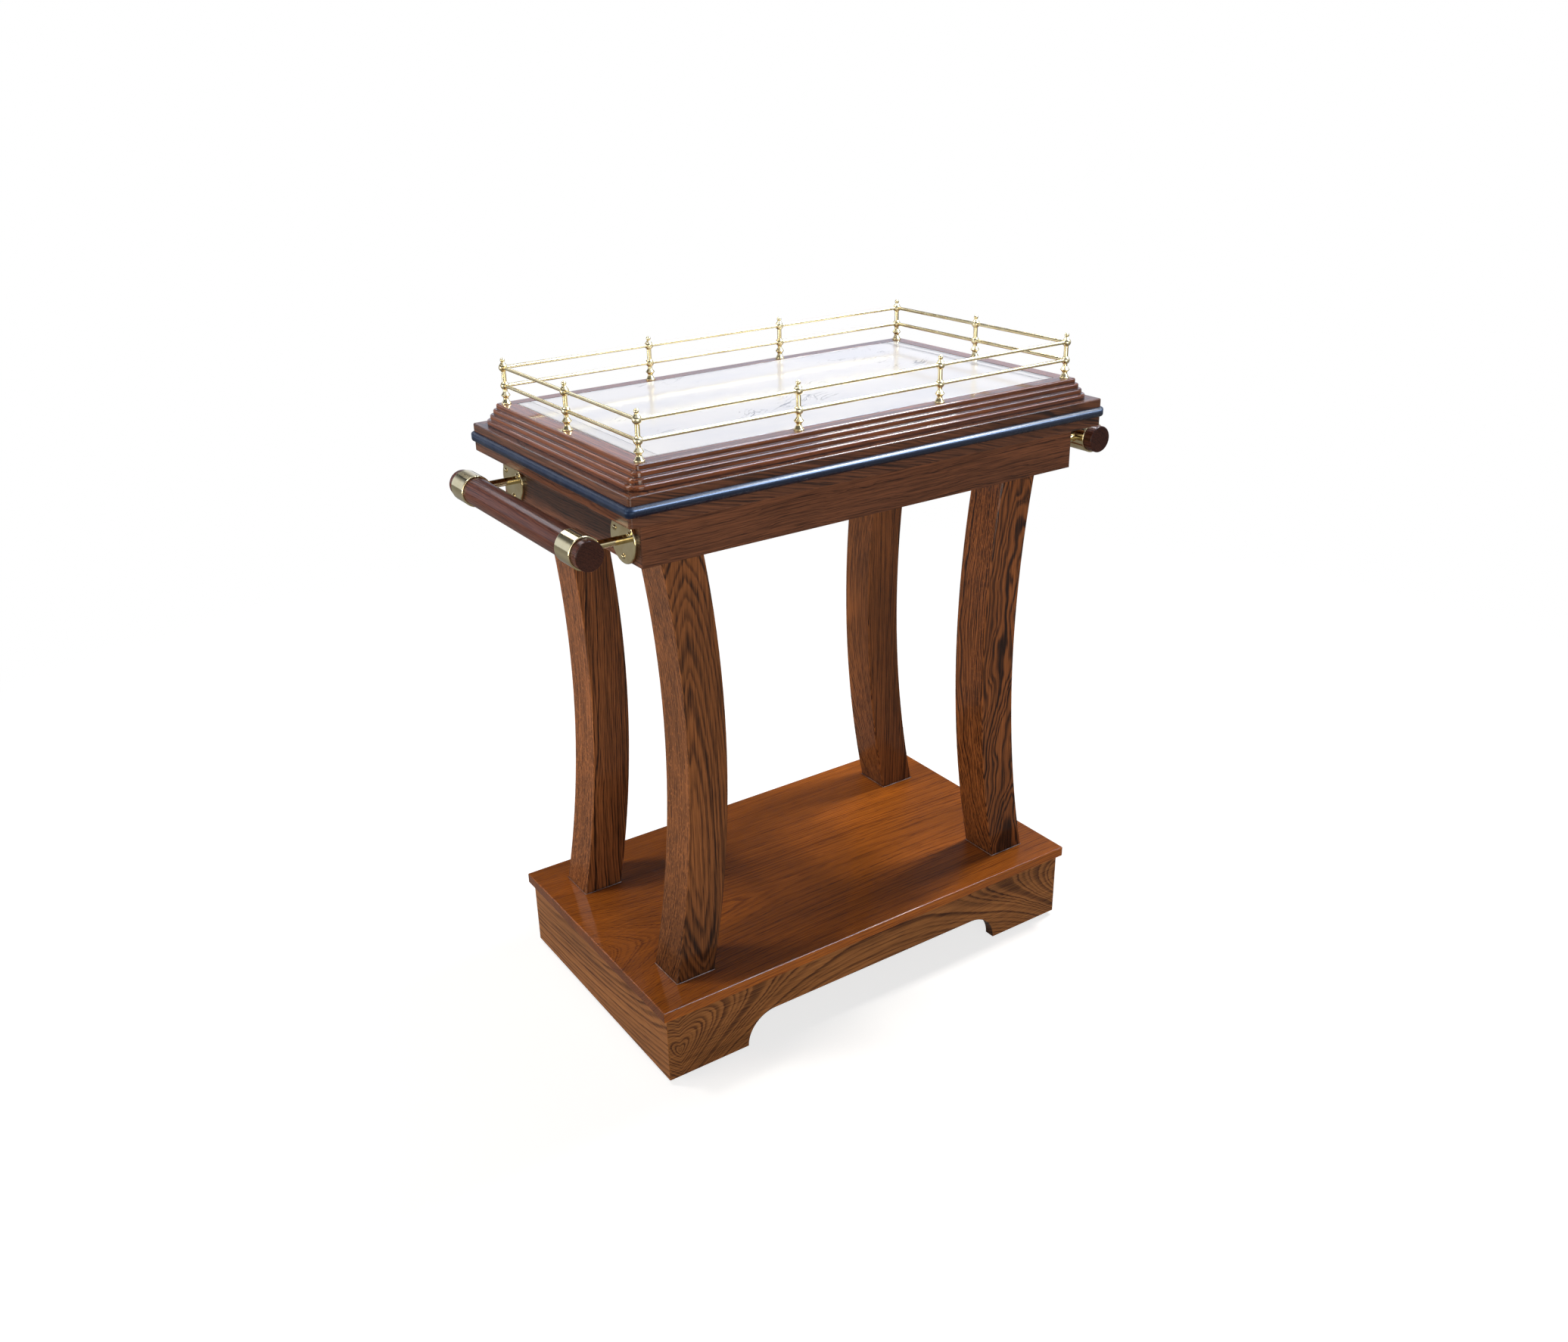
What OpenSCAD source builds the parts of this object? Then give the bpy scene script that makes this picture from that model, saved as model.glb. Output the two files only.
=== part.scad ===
// Tea trolley with a marble top, a brass gallery and a wooden plinth over hidden casters.
// Millimetres. X runs along the trolley, Y across it, Z up, with the origin on the floor below its middle.

/* [Plinth] */
// Length of the base board
board_l = 736; // [640:1:1000]
// Width of the base board
board_w = 432; // [380:1:560]
// Thickness of the base board
board_t = 16; // [12:1:28]
// How far the base board stands out past the skirt
board_overhang = 6.5; // [3:0.5:12]
// Rounding of the base board's edges
board_edge_r = 1.5; // [0.5:0.5:4]
// Height of the skirt
skirt_h = 104; // [98:1:140]
// Thickness of the skirt boards
skirt_t = 16; // [12:1:20]
// Rounding of the skirt's upright corners
skirt_corner_r = 1.5; // [0.5:0.5:4]
// Clear height between the skirt and the floor
floor_gap = 8; // [4:1:16]
// Length of each bracket foot, from the plinth's corner to the cut-out
foot_l = 130; // [105:1:180]
// Height of the cut-out between the feet, and the radius of its corners
cutout_h = 47; // [20:1:56]
// Side of the square block in each corner of the plinth
block_side = 112; // [108:1:120]

/* [Legs] */
// Leg thickness along the trolley
leg_w = 60; // [44:1:76]
// Leg thickness across the trolley
leg_d = 62; // [44:1:76]
// Length of a leg, from the base board to the top
leg_h = 686; // [500:1:800]
// How far a leg bows towards the middle
leg_bow = 36; // [10:1:60]
// From the top's edges to the middle of a leg's head
leg_inset = 84.5; // [80:0.5:92]
// Rounding of a leg's long edges
leg_edge_r = 2; // [0.5:0.5:5]

/* [Apron] */
// Height of the apron boards
apron_h = 61; // [50:1:90]
// Thickness of the apron boards
apron_t = 18; // [16:1:22]
// From the top's edge back to the apron's face
apron_inset = 27; // [15:1:32]
// Rounding of the apron's upright corners
apron_corner_r = 1.5; // [0.5:0.5:4]

/* [Top] */
// Length of the top, without its bumper
top_l = 748; // [640:1:1000]
// Width of the top, without its bumper
top_w = 446; // [380:1:560]
// Thickness of the boards round the top
top_t = 38; // [30:1:50]
// Width of the boards round the top
edge_board_w = 110; // [100:1:130]
// Rounding of the top's upright corners
top_corner_r = 4; // [2:0.5:8]
// Rounding of the top's upper and lower edges
top_edge_r = 1.5; // [0.5:0.5:3]
// Ledge left outside the lowest step
ledge_w = 11; // [6:0.5:20]
// Number of steps
step_count = 4; // [3:1:5]
// Depth of one step
step_run = 4.8; // [3.5:0.1:7]
// Height of one step
step_rise = 7; // [6:0.5:9]
// Rounding of the steps' noses
nose_r = 2.2; // [1:0.1:3]
// Rounding of the upright corners of the highest step
frame_corner_r = 5; // [3:0.5:8]
// Width of the flat border round the marble
border_w = 22; // [20:0.5:30]

/* [Marble] */
// Thickness of the marble
marble_t = 12; // [8:1:14]
// Joint between the marble and its border
marble_joint = 0.2; // [0.1:0.1:1]
// Bevel round the marble's upper edge
marble_bevel = 1.5; // [0.5:0.5:3]
// From each short edge of the marble to the fine line cut in it
line_inset = 20; // [10:1:40]
// Width of the fine line
line_w = 1.2; // [0.6:0.1:3]
// Depth of the fine line
line_depth = 0.5; // [0.2:0.1:1]

/* [Bumper] */
// Height of the rubber bumper's face
bumper_h = 13.5; // [8:0.5:18]
// How far the bumper stands out
bumper_proud = 4.5; // [3:0.5:6.5]
// Rounding of the bumper's face
bumper_edge_r = 4; // [2:0.5:4]
// Height of the bumper's middle above the underside of the top
bumper_z = 20; // [12:0.5:22]
// Thickness of the rib that holds the bumper in its groove
rib_t = 3; // [2:0.5:5]
// Depth of the bumper's rib
rib_depth = 8; // [5:0.5:12]

/* [Gallery] */
// From the highest step's edges to the middle of a post
post_inset = 12; // [9:0.5:14]
// Height of a post
post_h = 62; // [58:0.5:80]
// Height of the upper rail above the border
upper_rail_z = 49; // [44:0.5:50]
// Height of the lower rail above the border
lower_rail_z = 24.5; // [24:0.5:28]
// Rail diameter
rail_d = 4.8; // [3:0.1:6]
// Diameter of the ball round the upper rail
upper_ball_d = 12; // [10:0.5:14]
// Diameter of the ball round the lower rail
lower_ball_d = 11.8; // [10:0.1:14]
// Diameter of the post between the balls
column_d = 6.2; // [5:0.1:8]
// Diameter of the little ball on top
finial_d = 6.4; // [5:0.1:8]
// Diameter of the turned bead near the foot
bead_d = 12.6; // [10:0.1:15]
// Height of the bead's widest point
bead_z = 11.5; // [10:0.5:12.5]
// Diameter of a post's foot
flange_d = 13.5; // [10:0.5:17]
// Posts along each long side, with the corners
posts_long = 4; // [2:1:6]
// Posts along each short side, with the corners
posts_short = 3; // [2:1:4]
// Diameter of the screw thread under a post
stud_d = 4; // [3:0.5:5]
// Length of the screw thread under a post
stud_l = 14; // [8:1:18]

/* [Handles] */
// Diameter of the wooden handle bar
bar_d = 38; // [28:1:42]
// Length of the handle bar
bar_l = 380; // [260:1:420]
// Rounding of the handle bar's ends
bar_edge_r = 1.2; // [0.5:0.1:4]
// From the apron's face to the middle of the handle bar
bar_reach = 64; // [56:1:90]
// From the underside of the top down to the middle of the handle bar
bar_drop = 33; // [31:0.5:40]
// Wall of a brass collar
collar_wall = 2.4; // [1.5:0.1:4]
// Length of a brass collar
collar_l = 38; // [20:1:50]
// From the handle bar's end to the collar
collar_from_end = 13; // [5:1:30]
// Diameter of the arm between a collar and its rosette
arm_d = 11; // [8:0.5:14]
// Diameter of the screw thread that holds an arm
arm_stud_d = 6; // [4:0.5:7]
// Rosette diameter
rosette_d = 61; // [48:1:62]
// Rosette thickness
rosette_t = 4.5; // [3:0.5:7]
// Screws in each rosette
rosette_screws_n = 3; // [2:1:5]
// From the rosette's middle to its screws
rosette_screw_r = 21; // [15:0.5:21]
// Diameter of the rosette screws
rosette_screw_d = 4; // [3:0.5:5]

/* [Casters] */
// Wheel diameter
wheel_d = 50; // [40:1:52]
// Width of a wheel's tread
wheel_w = 20; // [14:1:22]
// How far the wheel's axle trails behind the swivel's axis
caster_trail = 22; // [16:1:24]
// Height of a caster, from the floor to its plate's upper face
caster_h = 72; // [68:1:76]
// From the skirt's inner faces to the pin that a caster swivels on
caster_inset = 55.5; // [53:0.5:60]
// Side of the square caster plate
plate_side = 60; // [54:1:66]
// Thickness of the caster plate
plate_t = 2.5; // [2:0.5:4]
// Thickness of the fork's steel
fork_t = 2.5; // [2:0.5:3.5]
// Axle diameter
axle_d = 6; // [5:0.5:8]
// Diameter of the pin that the fork turns on
kingpin_d = 8; // [6:0.5:10]

/* [Fixings] */
// Diameter of the bolts up into the legs
leg_bolt_d = 8; // [6:1:10]
// Diameter of the screws down into the legs
leg_screw_d = 6; // [4:1:7]
// How far bolts and screws reach into a leg
leg_bolt_reach = 42; // [25:1:60]
// Diameter of the screws up through the caster plates
plate_screw_d = 4.4; // [3:0.2:5]
// Length of the screws up through the caster plates
plate_screw_l = 20; // [12:1:26]

/* [Clearances] */
// Gap all round a shaft in its hole
bore_gap = 0.05; // [0.02:0.01:0.1]
// Gap between faces that turn past each other
turn_gap = 0.3; // [0.2:0.05:0.6]

/* [Hidden] */
$fn = 72;
EPS = 0.01;
MARGIN = 1;
ARC_STEPS = 4;

// Heights
skirt_top_z = floor_gap + skirt_h;
board_top_z = skirt_top_z + board_t;
top_z = board_top_z + leg_h;
ledge_z = top_z + top_t;
frame_z = ledge_z + step_count * step_rise;
block_t = skirt_top_z - caster_h;
bed_t = frame_z - ledge_z - marble_t;
bar_z = top_z - bar_drop;

// Half sizes, and the middles of the legs, posts, handle bars and casters
skirt_x = board_l / 2 - board_overhang;
skirt_y = board_w / 2 - board_overhang;
leg_x = top_l / 2 - leg_inset;
leg_y = top_w / 2 - leg_inset;
caster_x = skirt_x - skirt_t - caster_inset;
caster_y = skirt_y - skirt_t - caster_inset;
apron_x = top_l / 2 - apron_inset;
apron_y = top_w / 2 - apron_inset;
frame_inset = ledge_w + (step_count - 1) * step_run;
frame_x = top_l / 2 - frame_inset;
frame_y = top_w / 2 - frame_inset;
marble_x = frame_x - border_w - marble_joint;
marble_y = frame_y - border_w - marble_joint;
post_x = frame_x - post_inset;
post_y = frame_y - post_inset;
bar_x = apron_x + bar_reach;
collar_y = bar_l / 2 - collar_from_end - collar_l / 2;
leg_r = (leg_h * leg_h / 4 + leg_bow * leg_bow) / (2 * leg_bow);

// Sunk heads of the leg bolts and screws
bolt_head_d = 15;
bolt_head_t = 5.5;
bolt_sink_d = 22;
bolt_sink = 14;
screw_head_d = 12;
screw_head_t = 4;
screw_sink_d = 14;
screw_sink = 10;
leg_screw_off = 12;

// Caster parts
plate_hole_edge = 8;
plate_hole_off = plate_side / 2 - plate_hole_edge;
plate_corner_r = 5;
plate_screw_head_d = 8.6;
plate_screw_head_t = 2.6;
race_r = 17;
race_h = 3;
fork_r = 20;
pin_head_r = 7;
pin_head_t = 2;
hub_over = 2;
hub_r = 9;
axle_boss_r = 8;
axle_head_r = 5;
axle_head_t = 3;
nut_r = 5.6;
nut_t = 4;
axle_tail = 1;
race_z = caster_h - plate_t - race_h;
fork_top_z = race_z - turn_gap;
fork_low_z = fork_top_z - fork_t;
pin_head_z = fork_low_z - turn_gap;
cheek_y = wheel_w / 2 + hub_over + turn_gap;

// Rosette screws
rosette_head_d = 7.6;
rosette_head_t = 2.4;
rosette_slot_w = 1.1;
rosette_screw_reach = 13;
rosette_edge_r = 1.4;
arm_stud_reach = 14;
collar_edge_r = 0.9;

// Turned outline of a post, in heights above the border
foot_t = 1.4;
bell_top_z = 6.2;
foot_neck_r = 3.5;
bead_below = 3.2;
bead_above = 4.5;
bead_flat = 0.4;
neck_r = 3;
pear_top_z = 7;
pear_r = 2.5;
pear_start = 0.36;
finial_neck_r = 2.1;

WOOD = "#6a3d22";
WOOD_BASE = "#8a4a22";
PLYWOOD = "#b08a5a";
BRASS = "#d9bd6a";
RUBBER = "#1d2b44";
MARBLE = "#f1f3f6";
ZINC = "#b9bcc0";
TREAD = "#3a3a3c";

SIDES = ["front", "right", "back", "left"];
ENDS = [["left", -1], ["right", 1]];
CORNERS = [["front_left", -1, -1], ["front_right", 1, -1], ["back_left", -1, 1], ["back_right", 1, 1]];

// Posts: name, place, and the directions in which rails leave each one
LONG_POSTS = [
    for (s = [-1, 1]) for (i = [0 : posts_long - 1]) [
        str("gallery_post_", s < 0 ? "front" : "back", "_", i + 1),
        -post_x + i * 2 * post_x / (posts_long - 1),
        s * post_y,
        i == 0 ? [[1, 0], [0, -s]] : i == posts_long - 1 ? [[-1, 0], [0, -s]] : [[1, 0], [-1, 0]]
    ]
];
SHORT_POSTS = posts_short < 3 ? [] : [
    for (s = [-1, 1]) for (i = [1 : posts_short - 2]) [
        str("gallery_post_", s < 0 ? "left" : "right", posts_short > 3 ? str("_", i) : ""),
        s * post_x,
        -post_y + i * 2 * post_y / (posts_short - 1),
        [[0, 1], [0, -1]]
    ]
];
POSTS = concat(LONG_POSTS, SHORT_POSTS);

// Points along a small arc, for the rounded edges of long boards
function arc(centre, r, from) =
    [for (i = [0 : ARC_STEPS]) centre + r * [cos(from + 90 * i / ARC_STEPS), sin(from + 90 * i / ARC_STEPS)]];

// A square outline with rounded corners, with its middle at the origin
module rounded_square(w, h, r) {
    square([w - 2 * r, h], center = true);
    square([w, h - 2 * r], center = true);
    for (x = [-1, 1])
        for (y = [-1, 1])
            translate([x * (w / 2 - r), y * (h / 2 - r)])
                circle(r, $fn = 32);
}

// A flat board with every edge rounded, standing on z = 0
module eased_board(l, w, t, r) {
    for (size = [[l, w - 2 * r, t - 2 * r], [l - 2 * r, w, t - 2 * r], [l - 2 * r, w - 2 * r, t]])
        translate([0, 0, t / 2])
            cube(size, center = true);
    for (z = [r, t - r]) {
        for (y = [-1, 1])
            translate([0, y * (w / 2 - r), z])
                rotate([0, 90, 0])
                    cylinder(h = l - 2 * r, r = r, center = true, $fn = 32);
        for (x = [-1, 1])
            translate([x * (l / 2 - r), 0, z])
                rotate([90, 0, 0])
                    cylinder(h = w - 2 * r, r = r, center = true, $fn = 32);
        for (x = [-1, 1])
            for (y = [-1, 1])
                translate([x * (l / 2 - r), y * (w / 2 - r), z])
                    sphere(r, $fn = 32);
    }
    for (x = [-1, 1])
        for (y = [-1, 1])
            translate([x * (l / 2 - r), y * (w / 2 - r), r])
                cylinder(h = t - 2 * r, r = r, $fn = 32);
}

// Sweeps an outline along one side of a rectangle, mitred at both ends. The outline's x is the
// distance outwards from the line through the corners' centres, and round the corners it turns
// about those centres. half_l is half the side's length between them, reach is more than the
// outline's largest distance inwards or outwards, and h is its height.
module mitred_side(half_l, reach, h) {
    intersection() {
        rotate([90, 0, 90])
            linear_extrude(2 * half_l, center = true)
                children();
        translate([0, 0, -h])
            linear_extrude(3 * h)
                polygon([
                    [reach - half_l, -reach], [half_l - reach, -reach], [half_l, 0],
                    [half_l, reach], [-half_l, reach], [-half_l, 0]
                ]);
    }
    for (end = [0, 1])
        mirror([end, 0, 0])
            translate([-half_l, 0, 0])
                rotate([0, 0, 90])
                    rotate_extrude(angle = 45)
                        intersection() {
                            children();
                            translate([0, -h])
                                square([reach, 3 * h]);
                        }
}

// Puts one mitred side in place: 0 front, 1 right, 2 back, 3 left. x and y are the half sizes of
// the rectangle through the corners' centres.
module ring_side(side, x, y, reach, h) {
    along = side % 2 == 0 ? x : y;
    out = side % 2 == 0 ? y : x;
    rotate([0, 0, 180 + 90 * side])
        translate([0, out, 0])
            mitred_side(along, reach, h)
                children();
}

// A hole or shaft along -z from the origin
module down(d, l) {
    translate([0, 0, -l])
        cylinder(h = l, d = d);
}

// Places a child at each of the four legs
module each_leg() {
    for (c = CORNERS)
        translate([c[1] * leg_x, c[2] * leg_y, 0])
            children();
}

// Places a child at the pin of each of the four casters
module each_caster() {
    for (c = CORNERS)
        translate([c[1] * caster_x, c[2] * caster_y, 0])
            children();
}

// Places a child at the two screws in the head of each leg, one in each of the mitred boards
module each_leg_screw() {
    for (c = CORNERS)
        for (s = [-1, 1])
            translate([c[1] * (leg_x + s * leg_screw_off), c[2] * (leg_y - s * leg_screw_off), 0])
                children();
}

// Places a child at the four screw holes of a caster plate
module each_plate_hole() {
    for (x = [-1, 1])
        for (y = [-1, 1])
            translate([x * plate_hole_off, y * plate_hole_off, 0])
                children();
}

module base_board() {
    color(WOOD_BASE)
        difference() {
            translate([0, 0, skirt_top_z])
                eased_board(board_l, board_w, board_t, board_edge_r);
            each_leg()
                translate([0, 0, board_top_z + EPS])
                    down(leg_bolt_d + 2 * bore_gap, board_t + 2 * EPS);
        }
}

// Front and back skirts have a cut-out with round corners between two bracket feet
module skirt(side) {
    straight = skirt_x - foot_l - cutout_h;
    color(WOOD)
        difference() {
            translate([0, 0, floor_gap])
                ring_side(side, skirt_x - skirt_corner_r, skirt_y - skirt_corner_r,
                        skirt_t + MARGIN, skirt_h)
                    translate([skirt_corner_r - skirt_t, 0])
                        square([skirt_t, skirt_h]);
            if (side % 2 == 0)
                translate([0, 0, floor_gap])
                    rotate([90, 0, 0])
                        linear_extrude(board_w, center = true) {
                            translate([-straight, -cutout_h])
                                square([2 * straight, 2 * cutout_h]);
                            for (x = [-1, 1])
                                translate([x * straight, 0])
                                    circle(cutout_h, $fn = 144);
                        }
        }
}

module corner_blocks() {
    color(PLYWOOD)
        difference() {
            for (c = CORNERS)
                translate([
                    c[1] * (skirt_x - skirt_t - block_side / 2),
                    c[2] * (skirt_y - skirt_t - block_side / 2),
                    caster_h + block_t / 2
                ])
                    cube([block_side, block_side, block_t], center = true);
            each_leg() {
                translate([0, 0, skirt_top_z + EPS])
                    down(leg_bolt_d + 2 * bore_gap, block_t + 2 * EPS);
                translate([0, 0, caster_h - EPS])
                    cylinder(h = bolt_sink + EPS, d = bolt_sink_d);
            }
            each_caster()
                translate([0, 0, caster_h - EPS])
                    each_plate_hole()
                        cylinder(h = plate_screw_l - plate_t + EPS, d = plate_screw_d + 2 * bore_gap);
        }
}

// A leg's section, with its middle at the origin
module leg_section() {
    x = leg_w / 2 - leg_edge_r;
    y = leg_d / 2 - leg_edge_r;
    polygon(concat(
        arc([x, -y], leg_edge_r, -90),
        arc([x, y], leg_edge_r, 0),
        arc([-x, y], leg_edge_r, 90),
        arc([-x, -y], leg_edge_r, 180)
    ));
}

// One bowed leg: an arc of a ring that lies in the XZ plane, cut level at both ends
module leg(sx, sy) {
    mid_z = board_top_z + leg_h / 2;
    sweep = asin(leg_h / 2 / (leg_r - leg_w / 2)) + 1;
    color(WOOD)
        difference() {
            intersection() {
                translate([sx * (leg_x - leg_bow + leg_r), sy * leg_y, mid_z])
                    rotate([90, 0, 0])
                        rotate([0, 0, (sx > 0 ? 180 : 0) - sweep])
                            rotate_extrude(angle = 2 * sweep, $fn = 720)
                                translate([leg_r, 0])
                                    leg_section();
                translate([sx * leg_x, sy * leg_y, mid_z])
                    cube([4 * leg_bow + 4 * leg_w, 2 * leg_d, leg_h], center = true);
            }
            each_leg()
                translate([0, 0, board_top_z - EPS])
                    cylinder(h = leg_bolt_reach + turn_gap, d = leg_bolt_d + 2 * bore_gap);
            each_leg_screw()
                translate([0, 0, top_z + EPS])
                    down(leg_screw_d + 2 * bore_gap, leg_bolt_reach + turn_gap);
        }
}

// Bolts up through the blocks and the base board, and screws down through the top
module leg_fixings() {
    color(ZINC) {
        each_leg()
            translate([0, 0, caster_h + bolt_sink]) {
                cylinder(h = board_top_z + leg_bolt_reach - caster_h - bolt_sink, d = leg_bolt_d);
                translate([0, 0, -bolt_head_t])
                    cylinder(h = bolt_head_t, d = bolt_head_d, $fn = 6);
            }
        each_leg_screw()
            translate([0, 0, ledge_z - screw_sink]) {
                down(leg_screw_d, top_t - screw_sink + leg_bolt_reach);
                cylinder(h = screw_head_t, d = screw_head_d);
            }
    }
}

module apron(side) {
    color(WOOD)
        difference() {
            translate([0, 0, top_z - apron_h])
                ring_side(side, apron_x - apron_corner_r, apron_y - apron_corner_r,
                        apron_t + MARGIN, apron_h)
                    translate([apron_corner_r - apron_t, 0])
                        square([apron_t, apron_h]);
            if (side % 2 == 1)
                for (e = ENDS)
                    each_rosette(e[1]) {
                        down(arm_stud_d + 2 * bore_gap, arm_stud_reach + turn_gap);
                        each_rosette_screw()
                            down(rosette_screw_d + 2 * bore_gap, rosette_screw_reach + turn_gap);
                    }
        }
}

module top_edge_outline() {
    inner = top_corner_r - edge_board_w;
    mid = top_corner_r - top_edge_r;
    polygon(concat(
        [[inner, 0]],
        arc([mid, top_edge_r], top_edge_r, -90),
        arc([mid, top_t - top_edge_r], top_edge_r, 0),
        [[inner, top_t]]
    ));
}

// The saw cut round the top that takes the bumper's rib
module rib_groove() {
    cut = rib_depth + turn_gap;
    translate([0, 0, top_z + bumper_z])
        difference() {
            cube([top_l + MARGIN, top_w + MARGIN, rib_t + 2 * bore_gap], center = true);
            cube([top_l - 2 * cut, top_w - 2 * cut, rib_t + MARGIN], center = true);
        }
}

module top_edge(side) {
    color(WOOD)
        difference() {
            translate([0, 0, top_z])
                ring_side(side, top_l / 2 - top_corner_r, top_w / 2 - top_corner_r,
                        edge_board_w + MARGIN, top_t)
                    top_edge_outline();
            rib_groove();
            each_leg_screw() {
                translate([0, 0, ledge_z + EPS])
                    down(leg_screw_d + 2 * bore_gap, top_t + 2 * EPS);
                translate([0, 0, ledge_z + EPS])
                    down(screw_sink_d, screw_sink + EPS);
            }
        }
}

// Outline of the bumper: a face with two round shoulders, and the rib behind it. Round the top's
// corners a shoulder's centre stays further out than its own radius.
module bumper_outline() {
    face = top_corner_r + bumper_proud;
    r = min(bumper_edge_r, 0.48 * face);
    for (s = [-1, 1])
        intersection() {
            translate([face - r, bumper_z + s * (bumper_h / 2 - r)])
                circle(r, $fn = 48);
            translate([top_corner_r, bumper_z - bumper_h])
                square([face, 2 * bumper_h]);
        }
    translate([top_corner_r, bumper_z - bumper_h / 2])
        square([bumper_proud - r, bumper_h]);
    translate([top_corner_r, bumper_z + r - bumper_h / 2])
        square([bumper_proud, bumper_h - 2 * r]);
    translate([top_corner_r - rib_depth, bumper_z - rib_t / 2])
        square([rib_depth + bumper_proud / 2, rib_t]);
}

module rubber_bumper() {
    along = top_l / 2 - top_corner_r;
    across = top_w / 2 - top_corner_r;
    color(RUBBER)
        translate([0, 0, top_z])
            for (side = [0 : 3]) {
                half_l = side % 2 == 0 ? along : across;
                rotate([0, 0, 180 + 90 * side])
                    translate([0, side % 2 == 0 ? across : along, 0]) {
                        rotate([90, 0, 90])
                            linear_extrude(2 * half_l, center = true)
                                bumper_outline();
                        translate([half_l, 0, 0])
                            rotate_extrude(angle = 90)
                                intersection() {
                                    bumper_outline();
                                    square([top_corner_r + bumper_proud, top_t]);
                                }
                    }
            }
}

// Outline of the stepped moulding: one slab for each step, the lowest one the widest
module moulding_outline() {
    inner = frame_corner_r - border_w;
    for (i = [0 : step_count - 1]) {
        edge = frame_corner_r + (step_count - 1 - i) * step_run;
        translate([inner, i * step_rise])
            square([edge - nose_r - inner, step_rise]);
        translate([inner, i * step_rise])
            square([edge - inner, step_rise - nose_r]);
        translate([edge - nose_r, (i + 1) * step_rise - nose_r])
            circle(nose_r, $fn = 32);
    }
}

module moulding(side) {
    color(WOOD)
        difference() {
            translate([0, 0, ledge_z])
                ring_side(side, frame_x - frame_corner_r, frame_y - frame_corner_r,
                        border_w + step_count * step_run + MARGIN, frame_z - ledge_z)
                    moulding_outline();
            for (p = POSTS)
                translate([p[1], p[2], frame_z + EPS])
                    down(stud_d + 2 * bore_gap, stud_l + turn_gap);
        }
}

module marble_bed() {
    color(PLYWOOD)
        translate([0, 0, ledge_z + bed_t / 2])
            cube([2 * marble_x, 2 * marble_y, bed_t], center = true);
}

// A bar with a rectangular section whose two upper edges are bevelled, along x
module bevelled_bar(l, w, t, bevel) {
    rotate([90, 0, 90])
        linear_extrude(l, center = true)
            polygon([
                [-w / 2, 0], [w / 2, 0], [w / 2, t - bevel], [w / 2 - bevel, t],
                [bevel - w / 2, t], [-w / 2, t - bevel]
            ]);
}

module marble_top() {
    color(MARBLE)
        translate([0, 0, frame_z - marble_t])
            difference() {
                intersection() {
                    bevelled_bar(2 * marble_x, 2 * marble_y, marble_t, marble_bevel);
                    rotate([0, 0, 90])
                        bevelled_bar(2 * marble_y, 2 * marble_x, marble_t, marble_bevel);
                }
                for (x = [-1, 1])
                    translate([x * (marble_x - line_inset), 0, marble_t])
                        cube([line_w, 2 * marble_y + 1, 2 * line_depth], center = true);
            }
}

// A turned post with a blind hole towards each rail
module gallery_post(p) {
    color(BRASS)
        translate([p[1], p[2], frame_z])
            difference() {
                union() {
                    down(stud_d, stud_l);
                    cylinder(h = foot_t, d = flange_d);
                    translate([0, 0, foot_t])
                        cylinder(h = bell_top_z - foot_t, r1 = flange_d / 2 - 0.6, r2 = foot_neck_r);
                    cylinder(h = bead_z, r = foot_neck_r);
                    translate([0, 0, bead_z - bead_below])
                        cylinder(h = bead_below, r1 = foot_neck_r, d2 = bead_d);
                    translate([0, 0, bead_z])
                        cylinder(h = bead_flat, d = bead_d);
                    translate([0, 0, bead_z + bead_flat])
                        cylinder(h = bead_above, d1 = bead_d, r2 = neck_r);
                    cylinder(h = lower_rail_z, r = neck_r);
                    translate([0, 0, lower_rail_z])
                        sphere(d = lower_ball_d);
                    translate([0, 0, lower_rail_z])
                        cylinder(h = upper_rail_z - lower_rail_z, d = column_d);
                    translate([0, 0, upper_rail_z])
                        sphere(d = upper_ball_d);
                    translate([0, 0, upper_rail_z + upper_ball_d / 2 * pear_start])
                        cylinder(
                            h = pear_top_z - upper_ball_d / 2 * pear_start,
                            r1 = upper_ball_d / 2 * sqrt(1 - pear_start * pear_start),
                            r2 = pear_r
                        );
                    translate([0, 0, upper_rail_z])
                        cylinder(h = post_h - finial_d / 2 - upper_rail_z, r = finial_neck_r);
                    translate([0, 0, post_h - finial_d / 2])
                        sphere(d = finial_d);
                }
                for (z = [lower_rail_z, upper_rail_z])
                    for (d = p[3])
                        translate([0, 0, z])
                            rotate([0, 0, atan2(d[1], d[0])])
                                rotate([0, 90, 0])
                                    cylinder(h = upper_ball_d, d = rail_d + 2 * bore_gap);
            }
}

// Four rods at one height, each ending inside the corner posts, short of the rods that cross it
module rails(z) {
    end_gap = rail_d / 2 + turn_gap;
    color(BRASS)
        translate([0, 0, frame_z + z])
            for (s = [-1, 1]) {
                translate([0, s * post_y, 0])
                    rotate([0, 90, 0])
                        cylinder(h = 2 * (post_x - end_gap), d = rail_d, center = true);
                translate([s * post_x, 0, 0])
                    rotate([90, 0, 0])
                        cylinder(h = 2 * (post_y - end_gap), d = rail_d, center = true);
            }
}

// A cylinder along y with rounded rims
module rounded_bar(d, l, r) {
    rotate([90, 0, 0])
        rotate_extrude()
            intersection() {
                rounded_square(d, l, r);
                translate([0, -l])
                    square([d, 2 * l]);
            }
}

module handle_bar(sx) {
    color(WOOD)
        translate([sx * bar_x, 0, bar_z])
            rounded_bar(bar_d, bar_l, bar_edge_r);
}

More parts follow.
